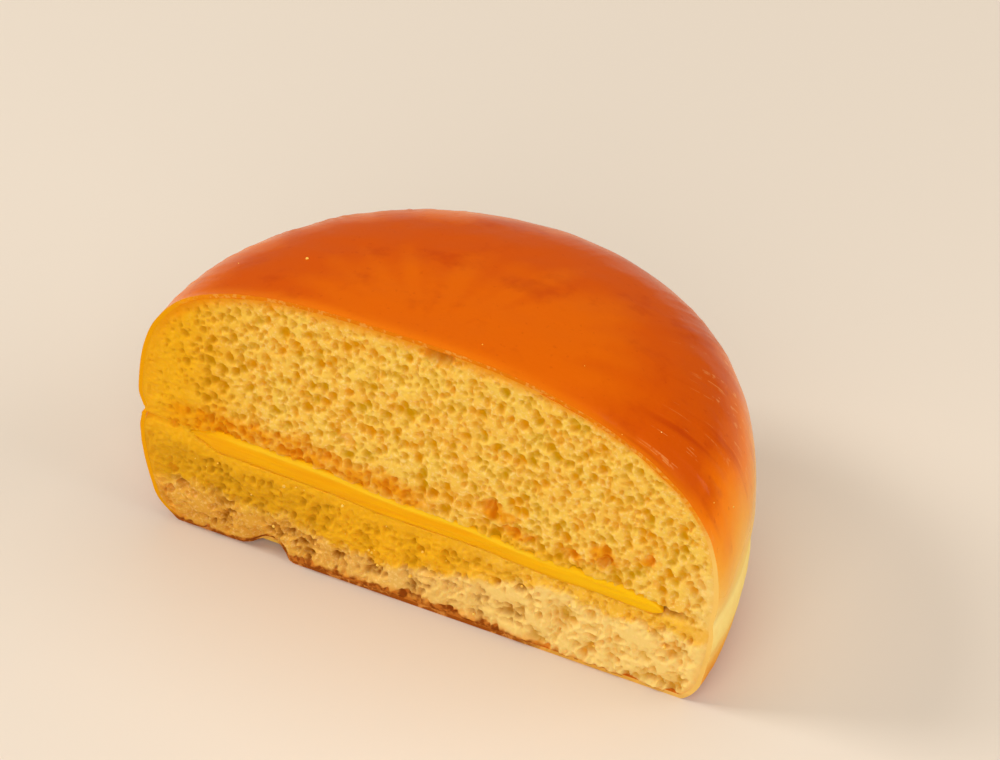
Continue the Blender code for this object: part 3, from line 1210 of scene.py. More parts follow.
@dataclass(frozen=True)
class Butter:
    """The layer of butter, a flat slab lofted back from its cut face."""

    across: int = 300
    up: int = 12
    rings: int = 44
    span_steps: int = 240
    depth_steps: int = 400
    last_ring: float = 0.998
    ring_power: float = 1.05

    rim_power: float = 26
    rim_least: float = 0.02
    rim_round: float = 0.7
    rough: Drift = Drift(0.05, 6, 3, 1.0)

    face_round: float = 0.35 * MM
    round_from: float = 0.7
    streak: float = 0.10 * MM
    streak_length: float = 9 * MM
    streak_height: float = 0.7 * MM
    face_back: float = -0.05 * MM
    tip_sink: float = 0.35 * MM
    tip: Fade = Fade(-36, -41)
    highlight_level: float = 0.74
    highlight_width: float = 0.17
    highlight_from: Fade = Fade(-0.95, -0.7, 1)
    highlight_to: Fade = Fade(0.75, 0.4, 1)

    def span(self, y: float) -> tuple[float, float]:
        """Where the layer starts and ends along X at a distance behind the cut.

        Args:
            y: Distance behind the cut plane.

        Returns:
            The x of both ends.
        """
        turns = half_turn(self.span_steps)
        inside = [turn for turn in turns if FORM.butter_reach(turn) * math.sin(turn) >= y]
        low, high = (FORM.butter_reach(turn) * math.cos(turn) for turn in (inside[-1], inside[0]))
        return low, high

    def place(self, along: float, level: float, y: float, ends: tuple[float, float]) -> Vector:
        """A point of the layer's skin.

        Args:
            along: From -1 at the left end to 1 at the right.
            level: From -1 at its underside to 1 on top.
            y: Distance behind the cut plane.
            ends: The layer's span there.

        Returns:
            The point.
        """
        x = blend(*ends, (along + 1) / 2)
        share = min(math.hypot(x, y) / FORM.butter_reach(math.atan2(y, x)), 1)
        fullness = max(1 - share**self.rim_power, self.rim_least) ** self.rim_round
        dragged = bell(y, FORM.drag_reach)
        half = blend(FORM.layer_thickness / 2, FORM.face_band(x)[1], dragged)
        half *= fullness * self.rough.at(Vector((x, y, 0)))
        middle = FORM.layer_height(x, y) - FORM.knife_drag * dragged
        return Vector((x, y, middle + level * half))

    def face(self) -> Shape:
        """Makes the cut face.

        Returns:
            A sheet whose edge is rounded where the knife cut it, with the place of each point
            along and up the layer, and the strength of the painted highlight along its top edge.
        """
        shape = bmesh.new()
        bmesh.ops.create_grid(shape, x_segments=self.across, y_segments=self.up, size=1)
        along = shape.verts.layers.float.new("along")
        level = shape.verts.layers.float.new("level")
        painted_highlight_line = shape.verts.layers.float.new("painted_highlight_line")
        ends = self.span(0)
        for corner in shape.verts:
            corner[along], corner[level] = corner.co.x, corner.co.y
            fades = self.highlight_from(corner[along]) * self.highlight_to(corner[along])
            # Painted highlight: a bright line along the top edge of the butter's cut face.
            corner[painted_highlight_line] = bell(corner[level] - self.highlight_level, self.highlight_width) * fades
            spot = self.place(corner[along], corner[level], 0, ends)
            past = max(abs(corner[level]) - self.round_from, 0) / (1 - self.round_from)
            streaked = Vector((spot.x / self.streak_length, 0, spot.z / self.streak_height))
            spot.y = self.face_back + self.face_round * past
            spot.y += self.tip_sink * self.tip(spot.x) + self.streak * noise.noise(streaked)
            corner.co = spot
        return shape

    def build(self) -> Shape:
        """Makes the layer.

        Returns:
            The closed slab.
        """
        shape = self.face()
        along, level = (shape.verts.layers.float[name] for name in ("along", "level"))
        rim = [edge for edge in shape.edges if edge.is_boundary]
        turns = half_turn(self.depth_steps)
        deepest = max(FORM.butter_reach(turn) * math.sin(turn) for turn in turns)
        for ring in range(1, self.rings + 1):
            share = math.sin(ring / self.rings * QUARTER) ** self.ring_power
            y = deepest * self.last_ring * share
            ends = self.span(y)
            made = bmesh.ops.extrude_edge_only(shape, edges=rim)["geom"]
            for item in made:
                if isinstance(item, bmesh.types.BMVert):
                    item.co = self.place(item[along], item[level], y, ends)
            rim = [e for e in made if isinstance(e, bmesh.types.BMEdge) and e.is_boundary]
        bmesh.ops.holes_fill(shape, edges=rim)
        return shape


@dataclass(frozen=True)
class Crumbs:
    """Small crumbs that cling to the crust by the cut and to the face."""

    on_crust: int = 9
    on_face: int = 44
    smallest: float = 0.10 * MM
    largest: float = 0.34 * MM
    small_power: float = 2.2
    lumpiness: float = 0.45
    seed: int = 11

    crust_share: float = 0.7
    crust_reach: float = 14 * MM
    crust_power: float = 2.5
    crust_heights: tuple[float, float] = (2, 85)
    right_share: float = 0.6
    dome_lean: float = 1.6
    crust_lift: float = 0.45

    face_width: float = 42
    by_butter_share: float = 0.35
    by_butter: tuple[float, float] = (3, 6)
    low_on_heel: tuple[float, float] = (1.5, 13)
    face_lift: float = 0.35

    def build(self) -> Shape:
        """Makes all of them as one joined shape.

        Returns:
            The shape.
        """
        draw = random.Random(self.seed)
        shape = bmesh.new()
        for number in range(self.on_crust + self.on_face):
            size = blend(self.smallest, self.largest, draw.random() ** self.small_power)
            if number < self.on_crust:
                size *= self.crust_share
                spot = self.crust_spot(draw, size)
            else:
                spot = self.face_spot(draw, size)
            made = bmesh.ops.create_icosphere(shape, subdivisions=2, radius=size)["verts"]
            for corner in made:
                lump = noise.noise(corner.co / size + Vector((number, 0, 0)))
                corner.co *= 1 + self.lumpiness * lump
            bmesh.ops.translate(shape, verts=made, vec=spot)
        return shape

    def crust_spot(self, draw: random.Random, size: float) -> Vector:
        """A place on the skin, most often close behind the cut."""
        back = draw.random() ** self.crust_power * self.crust_reach
        elevation = draw.uniform(*self.crust_heights)
        end = 0 if draw.random() < self.right_share else math.pi
        turn = math.atan2(back, FORM.skin_place(end, elevation).x)
        place = FORM.weathered(FORM.skin_place(turn, elevation), turn)
        up = max(place.z - FORM.waist, 0) * self.dome_lean
        outward = Vector((place.x, place.y, up)).normalized()
        return place + outward * size * self.crust_lift

    def face_spot(self, draw: random.Random, size: float) -> Vector:
        """A place on the cut face, mostly low on the heel and by the butter."""
        x = draw.uniform(-self.face_width, self.face_width) * MM
        if draw.random() < self.by_butter_share:
            z = FORM.face_band(x)[0] - draw.uniform(*self.by_butter) * MM
        else:
            z = draw.uniform(*self.low_on_heel) * MM
        return Vector((x, TORN.at(x, z) - size * self.face_lift, z))


# --- shader maths ----------------------------------------------------------------------------


class Wire:
    """An output socket that can be used in sums: each operator adds a Math node."""

    def __init__(self, graph: Graph, socket: bpy.types.NodeSocket) -> None:
        """Holds the socket and the graph that it is in."""
        self.graph = graph
        self.socket = socket

    def math(self, operation: str, *others: Any) -> Wire:
        """A Math node on this wire and up to two more values."""
        values = dict(enumerate((self, *others)))
        return self.graph.node("ShaderNodeMath", {"operation": operation}, values)

    def __add__(self, other: Any) -> Wire:
        """Sum."""
        return self.math("ADD", other)

    __radd__ = __add__

    def __mul__(self, other: Any) -> Wire:
        """Product."""
        return self.math("MULTIPLY", other)

    __rmul__ = __mul__

    def __sub__(self, other: Any) -> Wire:
        """Difference."""
        return self.math("SUBTRACT", other)

    def __rsub__(self, other: Any) -> Wire:
        """Difference the other way round."""
        values = {0: other, 1: self}
        return self.graph.node("ShaderNodeMath", {"operation": "SUBTRACT"}, values)

    def clamped(self) -> Wire:
        """The value kept from 0 to 1."""
        return self.math("MAXIMUM", 0.0).math("MINIMUM", 1.0)

    def step(self, low: float, high: float) -> Wire:
        """Eased share of the way from low to high."""
        settings = {"interpolation_type": "SMOOTHSTEP"}
        return self.graph.node(
            "ShaderNodeMapRange", settings, {"Value": self, "From Min": low, "From Max": high}
        )


@dataclass(frozen=True)
class Grain:
    """A noise of patches some millimetres wide, and the values where they fade in."""

    size: float
    detail: float = 2.0
    rough: float = 0.5
    low: float = 0.0
    high: float = 1.0


@dataclass(frozen=True)
class Stain:
    """A colour that covers a share of what is under it."""

    colour: Colour
    share: float = 1.0


class Graph:
    """The nodes of one material."""

    def __init__(self, name: str, constants: dict[str, Any]) -> None:
        """Starts a material.

        Args:
            name: The material's name.
            constants: Values of the shader's sockets that are the same all over.
        """
        self.material = bpy.data.materials.new(name)
        self.material.use_nodes = True
        self.tree = self.material.node_tree
        self.shader = self.tree.nodes["Principled BSDF"]
        for socket, value in constants.items():
            self.shader.inputs[socket].default_value = value

    def node(
        self,
        kind: str,
        settings: dict[str, Any] | None = None,
        sockets: dict[Any, Any] | None = None,
        output: int | str = 0,
    ) -> Wire:
        """Adds a node.

        Args:
            kind: Its type.
            settings: Its own settings; "stops" holds a ramp's stops.
            sockets: Values or wires for its inputs.
            output: Which output is wanted.

        Returns:
            The wire from that output.
        """
        made = self.tree.nodes.new(kind)
        for setting, value in (settings or {}).items():
            if setting == "stops":
                self.set_stops(made.color_ramp, value)
            else:
                setattr(made, setting, value)
        for socket, value in (sockets or {}).items():
            self.feed(made.inputs[socket], value)
        return Wire(self, made.outputs[output])

    @staticmethod
    def set_stops(ramp: bpy.types.ColorRamp, stops: Iterable[tuple[float, Colour]]) -> None:
        """Gives a ramp its stops, each a place and a colour."""
        stops = list(stops)
        while len(ramp.elements) < len(stops):
            ramp.elements.new(1.0)
        for element, (place, colour) in zip(ramp.elements, stops):
            element.position = place
            element.color = colour

    def feed(self, socket: bpy.types.NodeSocket, value: Any) -> None:
        """Links a wire to an input, or sets the input's value."""
        if isinstance(value, Wire):
            self.tree.links.new(value.socket, socket)
        else:
            socket.default_value = value

    def dress(self, **sockets: Any) -> bpy.types.Material:
        """Feeds the shader's sockets, named with underscores, and gives the material."""
        for socket, value in sockets.items():
            self.feed(self.shader.inputs[socket.replace("_", " ")], value)
        return self.material

    def attribute(self, name: str) -> Wire:
        """A number that the mesh carries at its points."""
        return self.node("ShaderNodeAttribute", {"attribute_name": name}, output="Fac")

    def place(self, stretch: tuple[float, float, float] = (1, 1, 1)) -> Wire:
        """Object coordinates, with each axis stretched."""
        here = self.node("ShaderNodeTexCoord", output="Object")
        if stretch == (1, 1, 1):
            return here
        return self.node("ShaderNodeMapping", None, {"Vector": here, "Scale": stretch})

    def axes(self) -> list[Wire]:
        """The three parts of the object coordinates."""
        here = {0: self.place()}
        return [self.node("ShaderNodeSeparateXYZ", None, here, axis) for axis in range(3)]

    def noise(self, grain: Grain, place: Wire | None = None) -> Wire:
        """Noise from 0 to 1.

        Args:
            grain: Its size and how fine it is.
            place: Coordinates, if not plain object coordinates.

        Returns:
            The noise.
        """
        sockets = {"Scale": 1 / (grain.size * MM), "Detail": grain.detail}
        sockets |= {"Roughness": grain.rough, "Vector": place or self.place()}
        return self.node("ShaderNodeTexNoise", None, sockets)

    def patches(self, grain: Grain) -> Wire:
        """The patches of a noise, from 0 between them to 1 inside."""
        return self.noise(grain).step(grain.low, grain.high)

    def mix(self, share: Any, low: Any, high: Any) -> Wire:
        """A Mix node on two colours."""
        settings = {"data_type": "RGBA"}
        return self.node("ShaderNodeMix", settings, {0: share, 6: low, 7: high}, output=2)

    def stained(self, under: Any, stain: Stain, where: Wire) -> Wire:
        """A colour, or a wire of one, with a stain on it."""
        return self.mix(where * stain.share, under, stain.colour)

    def ramp(self, share: Wire, stops: Iterable[tuple[float, Colour]]) -> Wire:
        """The colour of a ramp at a share."""
        return self.node("ShaderNodeValToRGB", {"stops": stops}, {"Fac": share})

    def bump(self, height: Wire, distance: float, strength: float = 1.0) -> Wire:
        """A normal from a height."""
        sockets = {"Height": height, "Distance": distance, "Strength": strength}
        return self.node("ShaderNodeBump", None, sockets)


# --- finishes --------------------------------------------------------------------------------


@dataclass(frozen=True)
class CrustFinish:
    """Egg-washed crust, pale by the slit and brown on top, over a dry brown heel."""

    dome: Stops = (
        (0.00, tone(248, 214, 132)),
        (0.11, tone(251, 205, 104)),
        (0.21, tone(250, 181, 64)),
        (0.31, tone(249, 164, 40)),
        (0.43, tone(245, 140, 12)),
        (0.53, tone(239, 120, 0)),
        (0.61, tone(220, 97, 0)),
        (0.69, tone(203, 79, 0)),
        (0.87, tone(203, 79, 0)),
        (0.97, tone(213, 93, 0)),
    )
    mottle: Grain = Grain(6, 4, 0.55)
    mottle_share: float = 0.10
    fine: Grain = Grain(1.3, 3, 0.6)
    fine_share: float = 0.035
    dark_patches: tuple[tuple[Grain, Stain, Pair], ...] = (
        (Grain(9, 4, 0.62, 0.54, 0.72), Stain(tone(176, 52, 0), 0.36), (0.3, 0.7)),
        (Grain(0.9, 1, 0.5, 0.68, 0.76), Stain(tone(176, 52, 0), 0.22), (0.2, 0.5)),
    )
    # Painted sheen: the dome is painted lighter in a band by the cut.
    glow: Stain = Stain(tone(240, 128, 8), 0.45)
    glow_brown: Pair = (0.3, 0.6)

    line_pitch: float = 4.6 * MM
    line_length: float = 34 * MM
    line_wave: Grain = Grain(1000, 2, 0.5, 0.53, 0.68)
    line_stain: Stain = Stain(tone(176, 52, 0), 0.55)
    # Painted highlight: fine pale lines stand in for glints of light on the wrinkled egg wash.
    painted_glint: Stain = Stain(tone(255, 190, 104), 0.28)
    glint_sharpness: float = 70
    glint_broken: Grain = Grain(1.8, 2, 0.6, 0.48, 0.58)
    glint_patches: Grain = Grain(11, 1, 0.5, 0.42, 0.55)
    line_brown: tuple[Pair, Pair] = ((0.30, 0.45), (0.92, 0.80))
    line_from: Pair = (24 * MM, 40 * MM)

    heel: Stops = (
        (0.00, tone(255, 228, 142)),
        (0.38, tone(254, 220, 124)),
        (0.62, tone(247, 180, 70)),
        (0.84, tone(236, 146, 46)),
        (1.00, tone(224, 126, 36)),
    )
    heel_grain: Grain = Grain(3.2, 5, 0.65, 0.66, 0.36)
    heel_ragged: float = 3 * MM
    heel_away: Pair = (42 * MM, 10 * MM)
    heel_away_share: float = 0.5
    mottled_low: Pair = (0.6, 0.14)
    mottled_away: Pair = (0.7, 0.3)
    heel_dark: Colour = tone(218, 116, 22)
    foot: Pair = (2.4 * MM, 0.3 * MM)
    foot_stain: Stain = Stain(tone(218, 116, 22), 0.8)
    base: Pair = (0.9 * MM, 0.1 * MM)
    base_stain: Stain = Stain(tone(168, 84, 22))

    shine: float = 0.24
    heel_roughness: float = 0.62
    fine_roughness: float = 0.06
    gloss_brown: Pair = (0.02, 0.22)
    wash: float = 0.16
    grit: tuple[tuple[Grain, float, float], ...] = (
        (Grain(0.7, 3, 0.6), 0.75, 0.10),
        (Grain(1.9, 2), -0.1, 0.30),
    )
    brushed: Grain = Grain(5.5, 3, 0.6)
    brushed_share: float = 2.6

    def stretched(self, graph: Graph, brown: Wire) -> tuple[Wire, Wire]:
        """Dark streaks and painted glints at the +X shoulder, where the rising dough stretched the
        skin.

        Args:
            graph: The material's nodes.
            brown: How brown the dome is.

        Returns:
            Strength of the dark streaks and of the fine painted glints, each 0 to 1.
        """
        x, y, z = graph.axes()
        around = (y + FORM.radius / 2).math("ARCTAN2", x) * (FORM.radius / self.line_pitch)
        sockets = {0: around, 1: z * (1 / self.line_length)}
        flat = graph.node("ShaderNodeCombineXYZ", None, sockets)
        # The place is counted in pitches and lengths, so the wave is one whole unit wide.
        wave = graph.noise(self.line_wave, flat)
        thin = (1 - (wave - 0.5).math("ABSOLUTE") * self.glint_sharpness).clamped()
        thin = thin * graph.patches(self.glint_broken) * graph.patches(self.glint_patches)
        least, most = self.line_brown
        zone = brown.step(*least) * brown.step(*most) * x.step(*self.line_from)
        return wave.step(self.line_wave.low, self.line_wave.high) * zone, thin * zone

    def skin(self, graph: Graph, brown: Wire) -> Wire:
        """The colour of the dome, from how brown it is, with a painted sheen by the cut and
        painted glints at the +X shoulder.
        """
        colour = graph.ramp(brown, self.dome)
        for grain, stain, span in self.dark_patches:
            colour = graph.stained(colour, stain, graph.patches(grain) * brown.step(*span))
        near_cut = graph.attribute("near_cut") * brown.step(*self.glow_brown)
        colour = graph.stained(colour, self.glow, near_cut)
        streaks, glints = self.stretched(graph, brown)
        colour = graph.stained(colour, self.line_stain, streaks)
        return graph.stained(colour, self.painted_glint, glints)

    def side(self, graph: Graph) -> Wire:
        """The colour of the heel, paler toward +X and browner toward the base."""
        grain = graph.noise(self.heel_grain)
        x, _, z = graph.axes()
        low = z + (grain - 0.5) * self.heel_ragged
        away = x.step(*self.heel_away)
        under = (1 - low * (1 / FORM.layer) + away * self.heel_away_share).clamped()
        mottled = grain.step(self.heel_grain.low, self.heel_grain.high)
        for place, (share, least) in ((under, self.mottled_low), (away, self.mottled_away)):
            mottled = mottled * (place * share + least)
        colour = graph.mix(mottled, graph.ramp(under, self.heel), self.heel_dark)
        colour = graph.stained(colour, self.foot_stain, low.step(*self.foot))
        return graph.stained(colour, self.base_stain, low.step(*self.base))

    def material(self) -> bpy.types.Material:
        """Makes the material.

        Returns:
            The material.
        """
        graph = Graph(
            "baked_crust",
            {
                "Subsurface Weight": 0.05,
                "Subsurface Radius": (1.0, 0.4, 0.12),
                "Subsurface Scale": 0.0015,
                "Specular IOR Level": 0.03,
                "Coat Roughness": 0.06,
                "Coat IOR": 1.35,
            },
        )
        heel = graph.attribute("heel")
        mottle, fine = (graph.noise(grain) - 0.5 for grain in (self.mottle, self.fine))
        brown = graph.attribute("browning") + mottle * self.mottle_share
        brown = (brown + fine * self.fine_share).clamped()
        gloss = (1 - heel) * brown.step(*self.gloss_brown)
        rough = self.shine + (1 - gloss) * (self.heel_roughness - self.shine)
        relief = graph.noise(self.brushed) * (1 - heel) * self.brushed_share
        for grain, share, least in self.grit:
            relief = relief + graph.noise(grain) * (heel * share + least)
        return graph.dress(
            Base_Color=graph.mix(heel, self.skin(graph, brown), self.side(graph)),
            Roughness=rough + fine * self.fine_roughness,
            Coat_Weight=gloss * self.wash,
            Normal=graph.bump(relief, distance=0.10 * MM, strength=0.55),
        )


@dataclass(frozen=True)
class CrustEdgeFinish:
    """The cut edge of the crust: golden where the dome is pale, orange above, finely torn."""

    edge: Stops = (
        (0.10, tone(250, 190, 78)),
        (0.35, tone(247, 166, 36)),
        (0.60, tone(240, 142, 14)),
        (0.95, tone(232, 126, 6)),
    )
    grain: Grain = Grain(1.4, 3, 0.6, 0.56, 0.40)
    dark: Stain = Stain(tone(228, 122, 8), 0.5)
    dark_brown: Pair = (0.2, 0.6)
    torn: Grain = Grain(0.8, 2, 0.5, 0.52, 0.62)
    torn_stain: Stain = Stain(tone(251, 202, 104), 0.28)
    torn_brown: Pair = (0.25, 0.5)
    golden: Stain = Stain(tone(241, 164, 2))
    golden_from: Pair = (-36 * MM, -46 * MM)
    pale: Stain = Stain(tone(251, 202, 104))
    pale_from: Pair = (36 * MM, 46 * MM)
    pale_brown: Pair = (0.6, 0.3)
    base: Colour = tone(166, 84, 18)
    base_light: Stain = Stain(tone(228, 150, 66), 0.8)
    base_top: Pair = (2.0 * MM, 0.6 * MM)
    base_ragged: float = 2 * MM
    baked: Pair = (26 * MM, 14 * MM)
    baked_ragged: float = 9 * MM
    baked_share: float = 0.8
    bread: Grain = Grain(1.7, 3, 0.6, 0.50, 0.62)
    relief: Grain = Grain(0.5)

    def material(self) -> bpy.types.Material:
        """Makes the material.

        Returns:
            The material.
        """
        graph = Graph("crust_edge", {"Roughness": 0.6, "Specular IOR Level": 0.03})
        x, _, z = graph.axes()
        grain, brown = graph.noise(self.grain), graph.attribute("browning")
        colour = graph.ramp(brown, self.edge)
        dark = grain.step(self.grain.low, self.grain.high) * brown.step(*self.dark_brown)
        colour = graph.stained(colour, self.dark, dark)
        torn = graph.patches(self.torn) * brown.step(*self.torn_brown)
        colour = graph.stained(colour, self.torn_stain, torn)
        colour = graph.stained(colour, self.golden, x.step(*self.golden_from))
        pale = x.step(*self.pale_from) * brown.step(*self.pale_brown)
        colour = graph.stained(colour, self.pale, pale)
        low = (z + (grain - 0.5) * self.base_ragged).step(*self.base_top)
        baked = (x + (grain - 0.5) * self.baked_ragged).step(*self.baked)
        low = low * (baked * self.baked_share + (1 - self.baked_share))
        base = graph.stained(self.base, self.base_light, graph.patches(self.bread))
        return graph.dress(
            Base_Color=graph.mix(low, colour, base),
            Normal=graph.bump(graph.noise(self.relief), distance=0.10 * MM, strength=0.7),
        )


@dataclass(frozen=True)
class CrumbFinish:
    """Soft yellow crumb, painted deeper in its bubbles as shade, with painted highlights on its
    strands, and stained by the butter.
    """

    fine: Grain = Grain(0.9, 3, 0.6)
    pore_share: float = 1.04
    pore_fine: float = 0.5
    wall: Colour = tone(251, 204, 86)
    drift: Grain = Grain(3.6, 3, 0.6, 0.36, 0.64)
    warm: Stain = Stain(tone(247, 186, 70), 0.6)
    dim: Stain = Stain(tone(223, 152, 42), 0.8)
    pale: Stain = Stain(tone(251, 212, 122))
    strand_highlight: Grain = Grain(0.55, 2, 0.6, 0.50, 0.68)
    strand_highlight_colour: Colour = tone(255, 214, 130)
    strand_highlight_share: float = 0.7
    strand_highlight_change: float = 0.3
    bubble: Colour = tone(229, 156, 8)
    olive: Colour = tone(212, 158, 8)
    darker_heel: Stain = Stain(tone(162, 94, 2))
    pore_pale: float = 0.2
    golden: Colour = tone(243, 174, 2)
    golden_share: float = 0.88
    dull: Colour = tone(196, 138, 6)
    dull_pore: float = 0.85
    soaked: Colour = tone(237, 152, 4)
    soaked_pit: Colour = tone(218, 120, 2)
    soaked_fine: float = 0.3
    soaked_share: float = 0.92
    rind: Stain = Stain(tone(240, 142, 6), 0.85)
    scorch_and_shade: Colour = tone(150, 74, 16)
    scorch_grain: Grain = Grain(1.3, 2, 0.5, 0.44, 0.6)
    scorch_light: Stain = Stain(tone(204, 120, 40))
    dry_roughness: float = 0.72
    wet_shine: float = 0.2
    relief: Grain = Grain(0.35, 3, 0.65)

    def material(self) -> bpy.types.Material:
        """Makes the material.

        Returns:
            The material.
        """
        graph = Graph(
            "soft_crumb",
            {
                "Subsurface Weight": 0.22,
                "Subsurface Radius": (1.0, 0.62, 0.25),
                "Subsurface Scale": 0.0011,
                "Specular IOR Level": 0.025,
            },
        )
        pit_shade, pale, darker_heel, golden, soaked, rind, scorch_and_shade = map(
            graph.attribute, ("pit_shade", "pale", "darker_heel", "golden", "soaked", "rind", "scorch_and_shade")
        )
        wet = (golden + soaked).clamped()
        fine = graph.noise(self.fine) - 0.5
        pit_shade = (pit_shade * self.pore_share + fine * self.pore_fine).clamped()
        drift = graph.patches(self.drift)
        wall = graph.stained(self.wall, self.warm, drift)
        wall = graph.stained(wall, self.dim, darker_heel)
        wall = graph.stained(wall, self.pale, pale)
        # Painted highlight: pale patches on the walls stand in for light catching the crumb's
        # strands.
        strand_highlight = self.strand_highlight_share + pale * self.strand_highlight_change - darker_heel * self.strand_highlight_change
        wall = graph.mix(graph.patches(self.strand_highlight) * strand_highlight, wall, self.strand_highlight_colour)
        pit = graph.mix(drift, self.olive, self.bubble)
        # The torn heel's pits, and less its walls, are coloured darker here.
        pit = graph.stained(pit, self.darker_heel, darker_heel)
        # Painted shade: the pits take the darker bubble, olive and dull colours by their depth.
        colour = graph.mix(pit_shade * (1 - pale * self.pore_pale), wall, pit)
        stain = graph.mix((pit_shade * self.dull_pore + darker_heel).clamped(), self.golden, self.dull)
        # The golden colour at the left end is partly painted bounce light.
        colour = graph.mix(golden * self.golden_share, colour, stain)
        soaked = (soaked + fine * self.soaked_fine).clamped()
        stain = graph.mix(pit_shade, self.soaked, self.soaked_pit)
        colour = graph.mix(soaked * self.soaked_share, colour, stain)
        colour = graph.stained(colour, self.rind, rind)
        # The base line's brown also paints shade into the crevice and the hollow.
        burnt_and_shaded = graph.stained(self.scorch_and_shade, self.scorch_light, graph.patches(self.scorch_grain))
        return graph.dress(
            Base_Color=graph.mix(scorch_and_shade, colour, burnt_and_shaded),
            Roughness=self.dry_roughness - wet * self.wet_shine,
            Normal=graph.bump(graph.noise(self.relief), distance=0.12 * MM, strength=0.45),
        )


@dataclass(frozen=True)
class ButterFinish:
    """Soft salted butter, smooth where the knife drew through it."""

    deep: Colour = tone(249, 168, 0)
    light: Stain = Stain(tone(254, 182, 2))
    streaks: Grain = Grain(1.0, 3, 0.6, 0.3, 0.7)
    stretch: tuple[float, float, float] = (0.08, 0.5, 1.0)
    bright: Stain = Stain(tone(255, 198, 12), 0.6)
    bright_from: Pair = (6 * MM, 32 * MM)
    low: Stain = Stain(tone(242, 164, 0), 0.7)
    low_level: Pair = (-0.1, -0.9)
    top_edge_highlight: Stain = Stain(tone(255, 200, 34))
    shine: float = 0.36
    streak_shine: float = 0.12

    def material(self) -> bpy.types.Material:
        """Makes the material.

        Returns:
            The material.
        """
        graph = Graph(
            "butter",
            {
                "Subsurface Weight": 0.3,
                "Subsurface Radius": (1.0, 0.6, 0.15),
                "Subsurface Scale": 0.0016,
                "Specular IOR Level": 0.05,
                "Coat Weight": 0.04,
                "Coat Roughness": 0.2,
            },
        )
        streaks = graph.noise(self.streaks, graph.place(self.stretch))
        drawn = streaks.step(self.streaks.low, self.streaks.high)
        colour = graph.stained(self.deep, self.light, drawn)
        colour = graph.stained(colour, self.bright, graph.axes()[0].step(*self.bright_from))
        colour = graph.stained(colour, self.low, graph.attribute("level").step(*self.low_level))
        # Painted highlight along the butter's top edge.
        colour = graph.stained(colour, self.top_edge_highlight, graph.attribute("painted_highlight_line"))
        return graph.dress(
            Base_Color=colour,
            Roughness=self.shine + streaks * self.streak_shine,
            Normal=graph.bump(streaks, distance=0.12 * MM, strength=0.5),
        )


# --- studio ----------------------------------------------------------------------------------


@dataclass(frozen=True)
class Softbox:
    """A soft square light that looks at the bun."""

    name: str
    place: tuple[float, float, float]
    size: float
    power: float
    colour: tuple[float, float, float] = (1.0, 1.0, 1.0)

    def hang(self, target: Vector) -> None:
        """Adds the light, turned to a point."""
        data = bpy.data.lights.new(self.name, "AREA")
        data.shape = "SQUARE"
        data.size = self.size
        data.energy = self.power
        data.color = self.colour
        lamp = bpy.data.objects.new(self.name, data)
        lamp.location = self.place
        lamp.rotation_mode = "QUATERNION"
        lamp.rotation_quaternion = (target - Vector(self.place)).to_track_quat("-Z", "Y")
        bpy.context.scene.collection.objects.link(lamp)


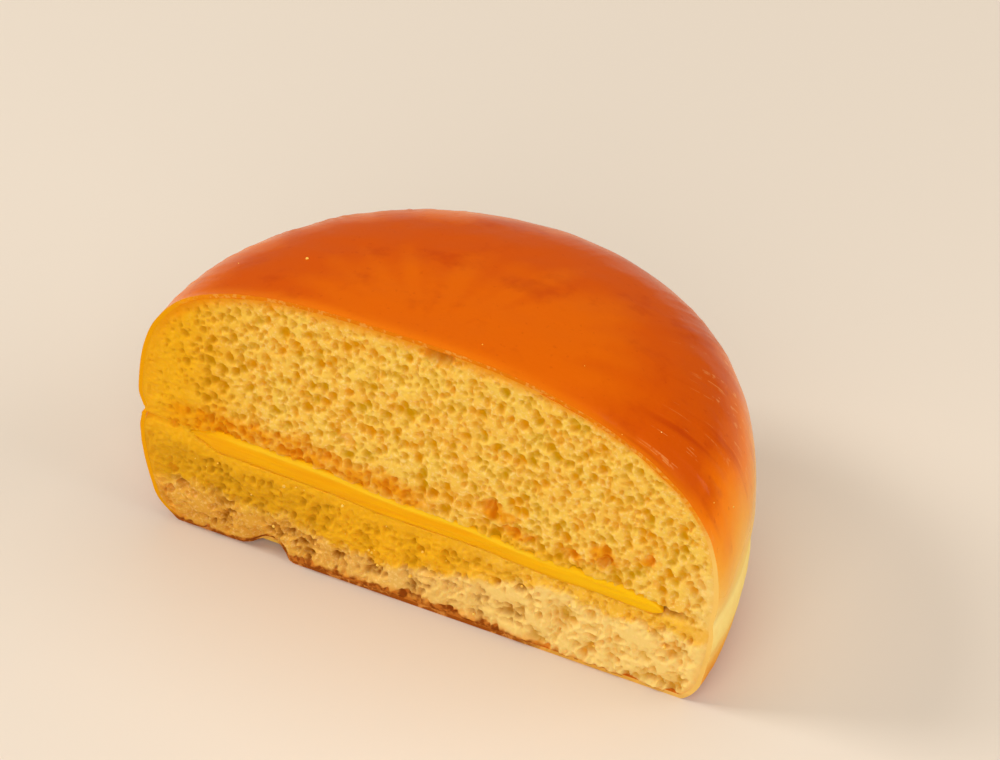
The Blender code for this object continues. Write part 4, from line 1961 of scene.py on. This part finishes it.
@dataclass(frozen=True)
class Studio:
    """Pale floor, soft lights and the camera."""

    floor_colour: Colour = tone(221, 206, 187)
    floor_size: float = 12.0
    camera_place: Vector = field(default_factory=lambda: Vector((0.2539, -0.4941, 0.4846)))
    lens: float = 164.0
    sensor: float = 36.0
    clip: Pair = (0.01, 50.0)
    world_colour: Colour = (1.0, 0.97, 0.93, 1.0)
    world_strength: float = 0.22
    lights: tuple[Softbox, ...] = (
        Softbox("key", (-0.86, -0.24, 0.80), 0.36, 6.2),
        Softbox("front", (0.30, -1.05, 0.72), 1.0, 7.9),
        Softbox("side", (1.15, 0.25, 0.75), 1.1, 8.1),
        Softbox("top", (0.0, 0.30, 1.60), 1.5, 9.6),
    )

    def lay_floor(self) -> None:
        """Lays a wide pale floor under the bun."""
        shape = bmesh.new()
        bmesh.ops.create_grid(shape, x_segments=2, y_segments=2, size=self.floor_size / 2)
        floor = add_object("floor", shape)
        graph = Graph("plain_floor", {"Roughness": 0.6, "Specular IOR Level": 0.3})
        floor.data.materials.append(graph.dress(Base_Color=self.floor_colour))

    def set_up(self) -> None:
        """Adds floor, lights, surrounding light and camera."""
        scene = bpy.context.scene
        scene.view_settings.view_transform = "Standard"
        low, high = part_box("bun")
        target = (low + high) / 2
        self.lay_floor()
        for light in self.lights:
            light.hang(target)
        world = bpy.data.worlds.new("soft_room")
        world.use_nodes = True
        back = world.node_tree.nodes["Background"]
        back.inputs["Color"].default_value = self.world_colour
        back.inputs["Strength"].default_value = self.world_strength
        scene.world = world
        data = bpy.data.cameras.new("camera")
        data.lens = self.lens
        data.sensor_width = self.sensor
        data.clip_start, data.clip_end = self.clip
        camera = bpy.data.objects.new("camera", data)
        camera.location = self.camera_place
        camera.rotation_mode = "QUATERNION"
        camera.rotation_quaternion = (target - self.camera_place).to_track_quat("-Z", "Y")
        scene.collection.objects.link(camera)
        scene.camera = camera


def report(piece: bpy.types.Object) -> None:
    """Logs a piece's name and how many triangles it has."""
    piece.data.calc_loop_triangles()
    log.info("%s: %d triangles", piece.name, len(piece.data.loop_triangles))


def main() -> None:
    """Builds the pieces in order, dresses them and sets up the studio."""
    logging.basicConfig(level=logging.INFO, format="%(name)s %(message)s")
    # Without a seed, noise_vector gives other offsets in every run.
    noise.seed_set(NOISE_SEED)
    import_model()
    placement = Placement.measured()

    crust_finish = CrustFinish().material()
    edge_finish = CrustEdgeFinish().material()
    crumb_finish = CrumbFinish().material()
    butter_finish = ButterFinish().material()

    shell, outline = Crust().build()
    bread = [placement.settle("crust", shell, (crust_finish, edge_finish))]
    for side in Side:
        name = f"crumb_{side.name.lower()}"
        bread.append(placement.settle(name, CrumbBody(side).build(), (crumb_finish,)))
    bread.append(placement.settle("crumb_face", CrumbFace(outline).build(), (crumb_finish,)))
    bread.append(placement.settle("loose_crumbs", Crumbs().build(), (crumb_finish,)))
    for piece in bread:
        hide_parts("bun")
        report(piece)

    butter = placement.settle("butter_layer", Butter().build(), (butter_finish,))
    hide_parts("butter")
    report(butter)

    Studio().set_up()


if __name__ == "__main__":
    main()
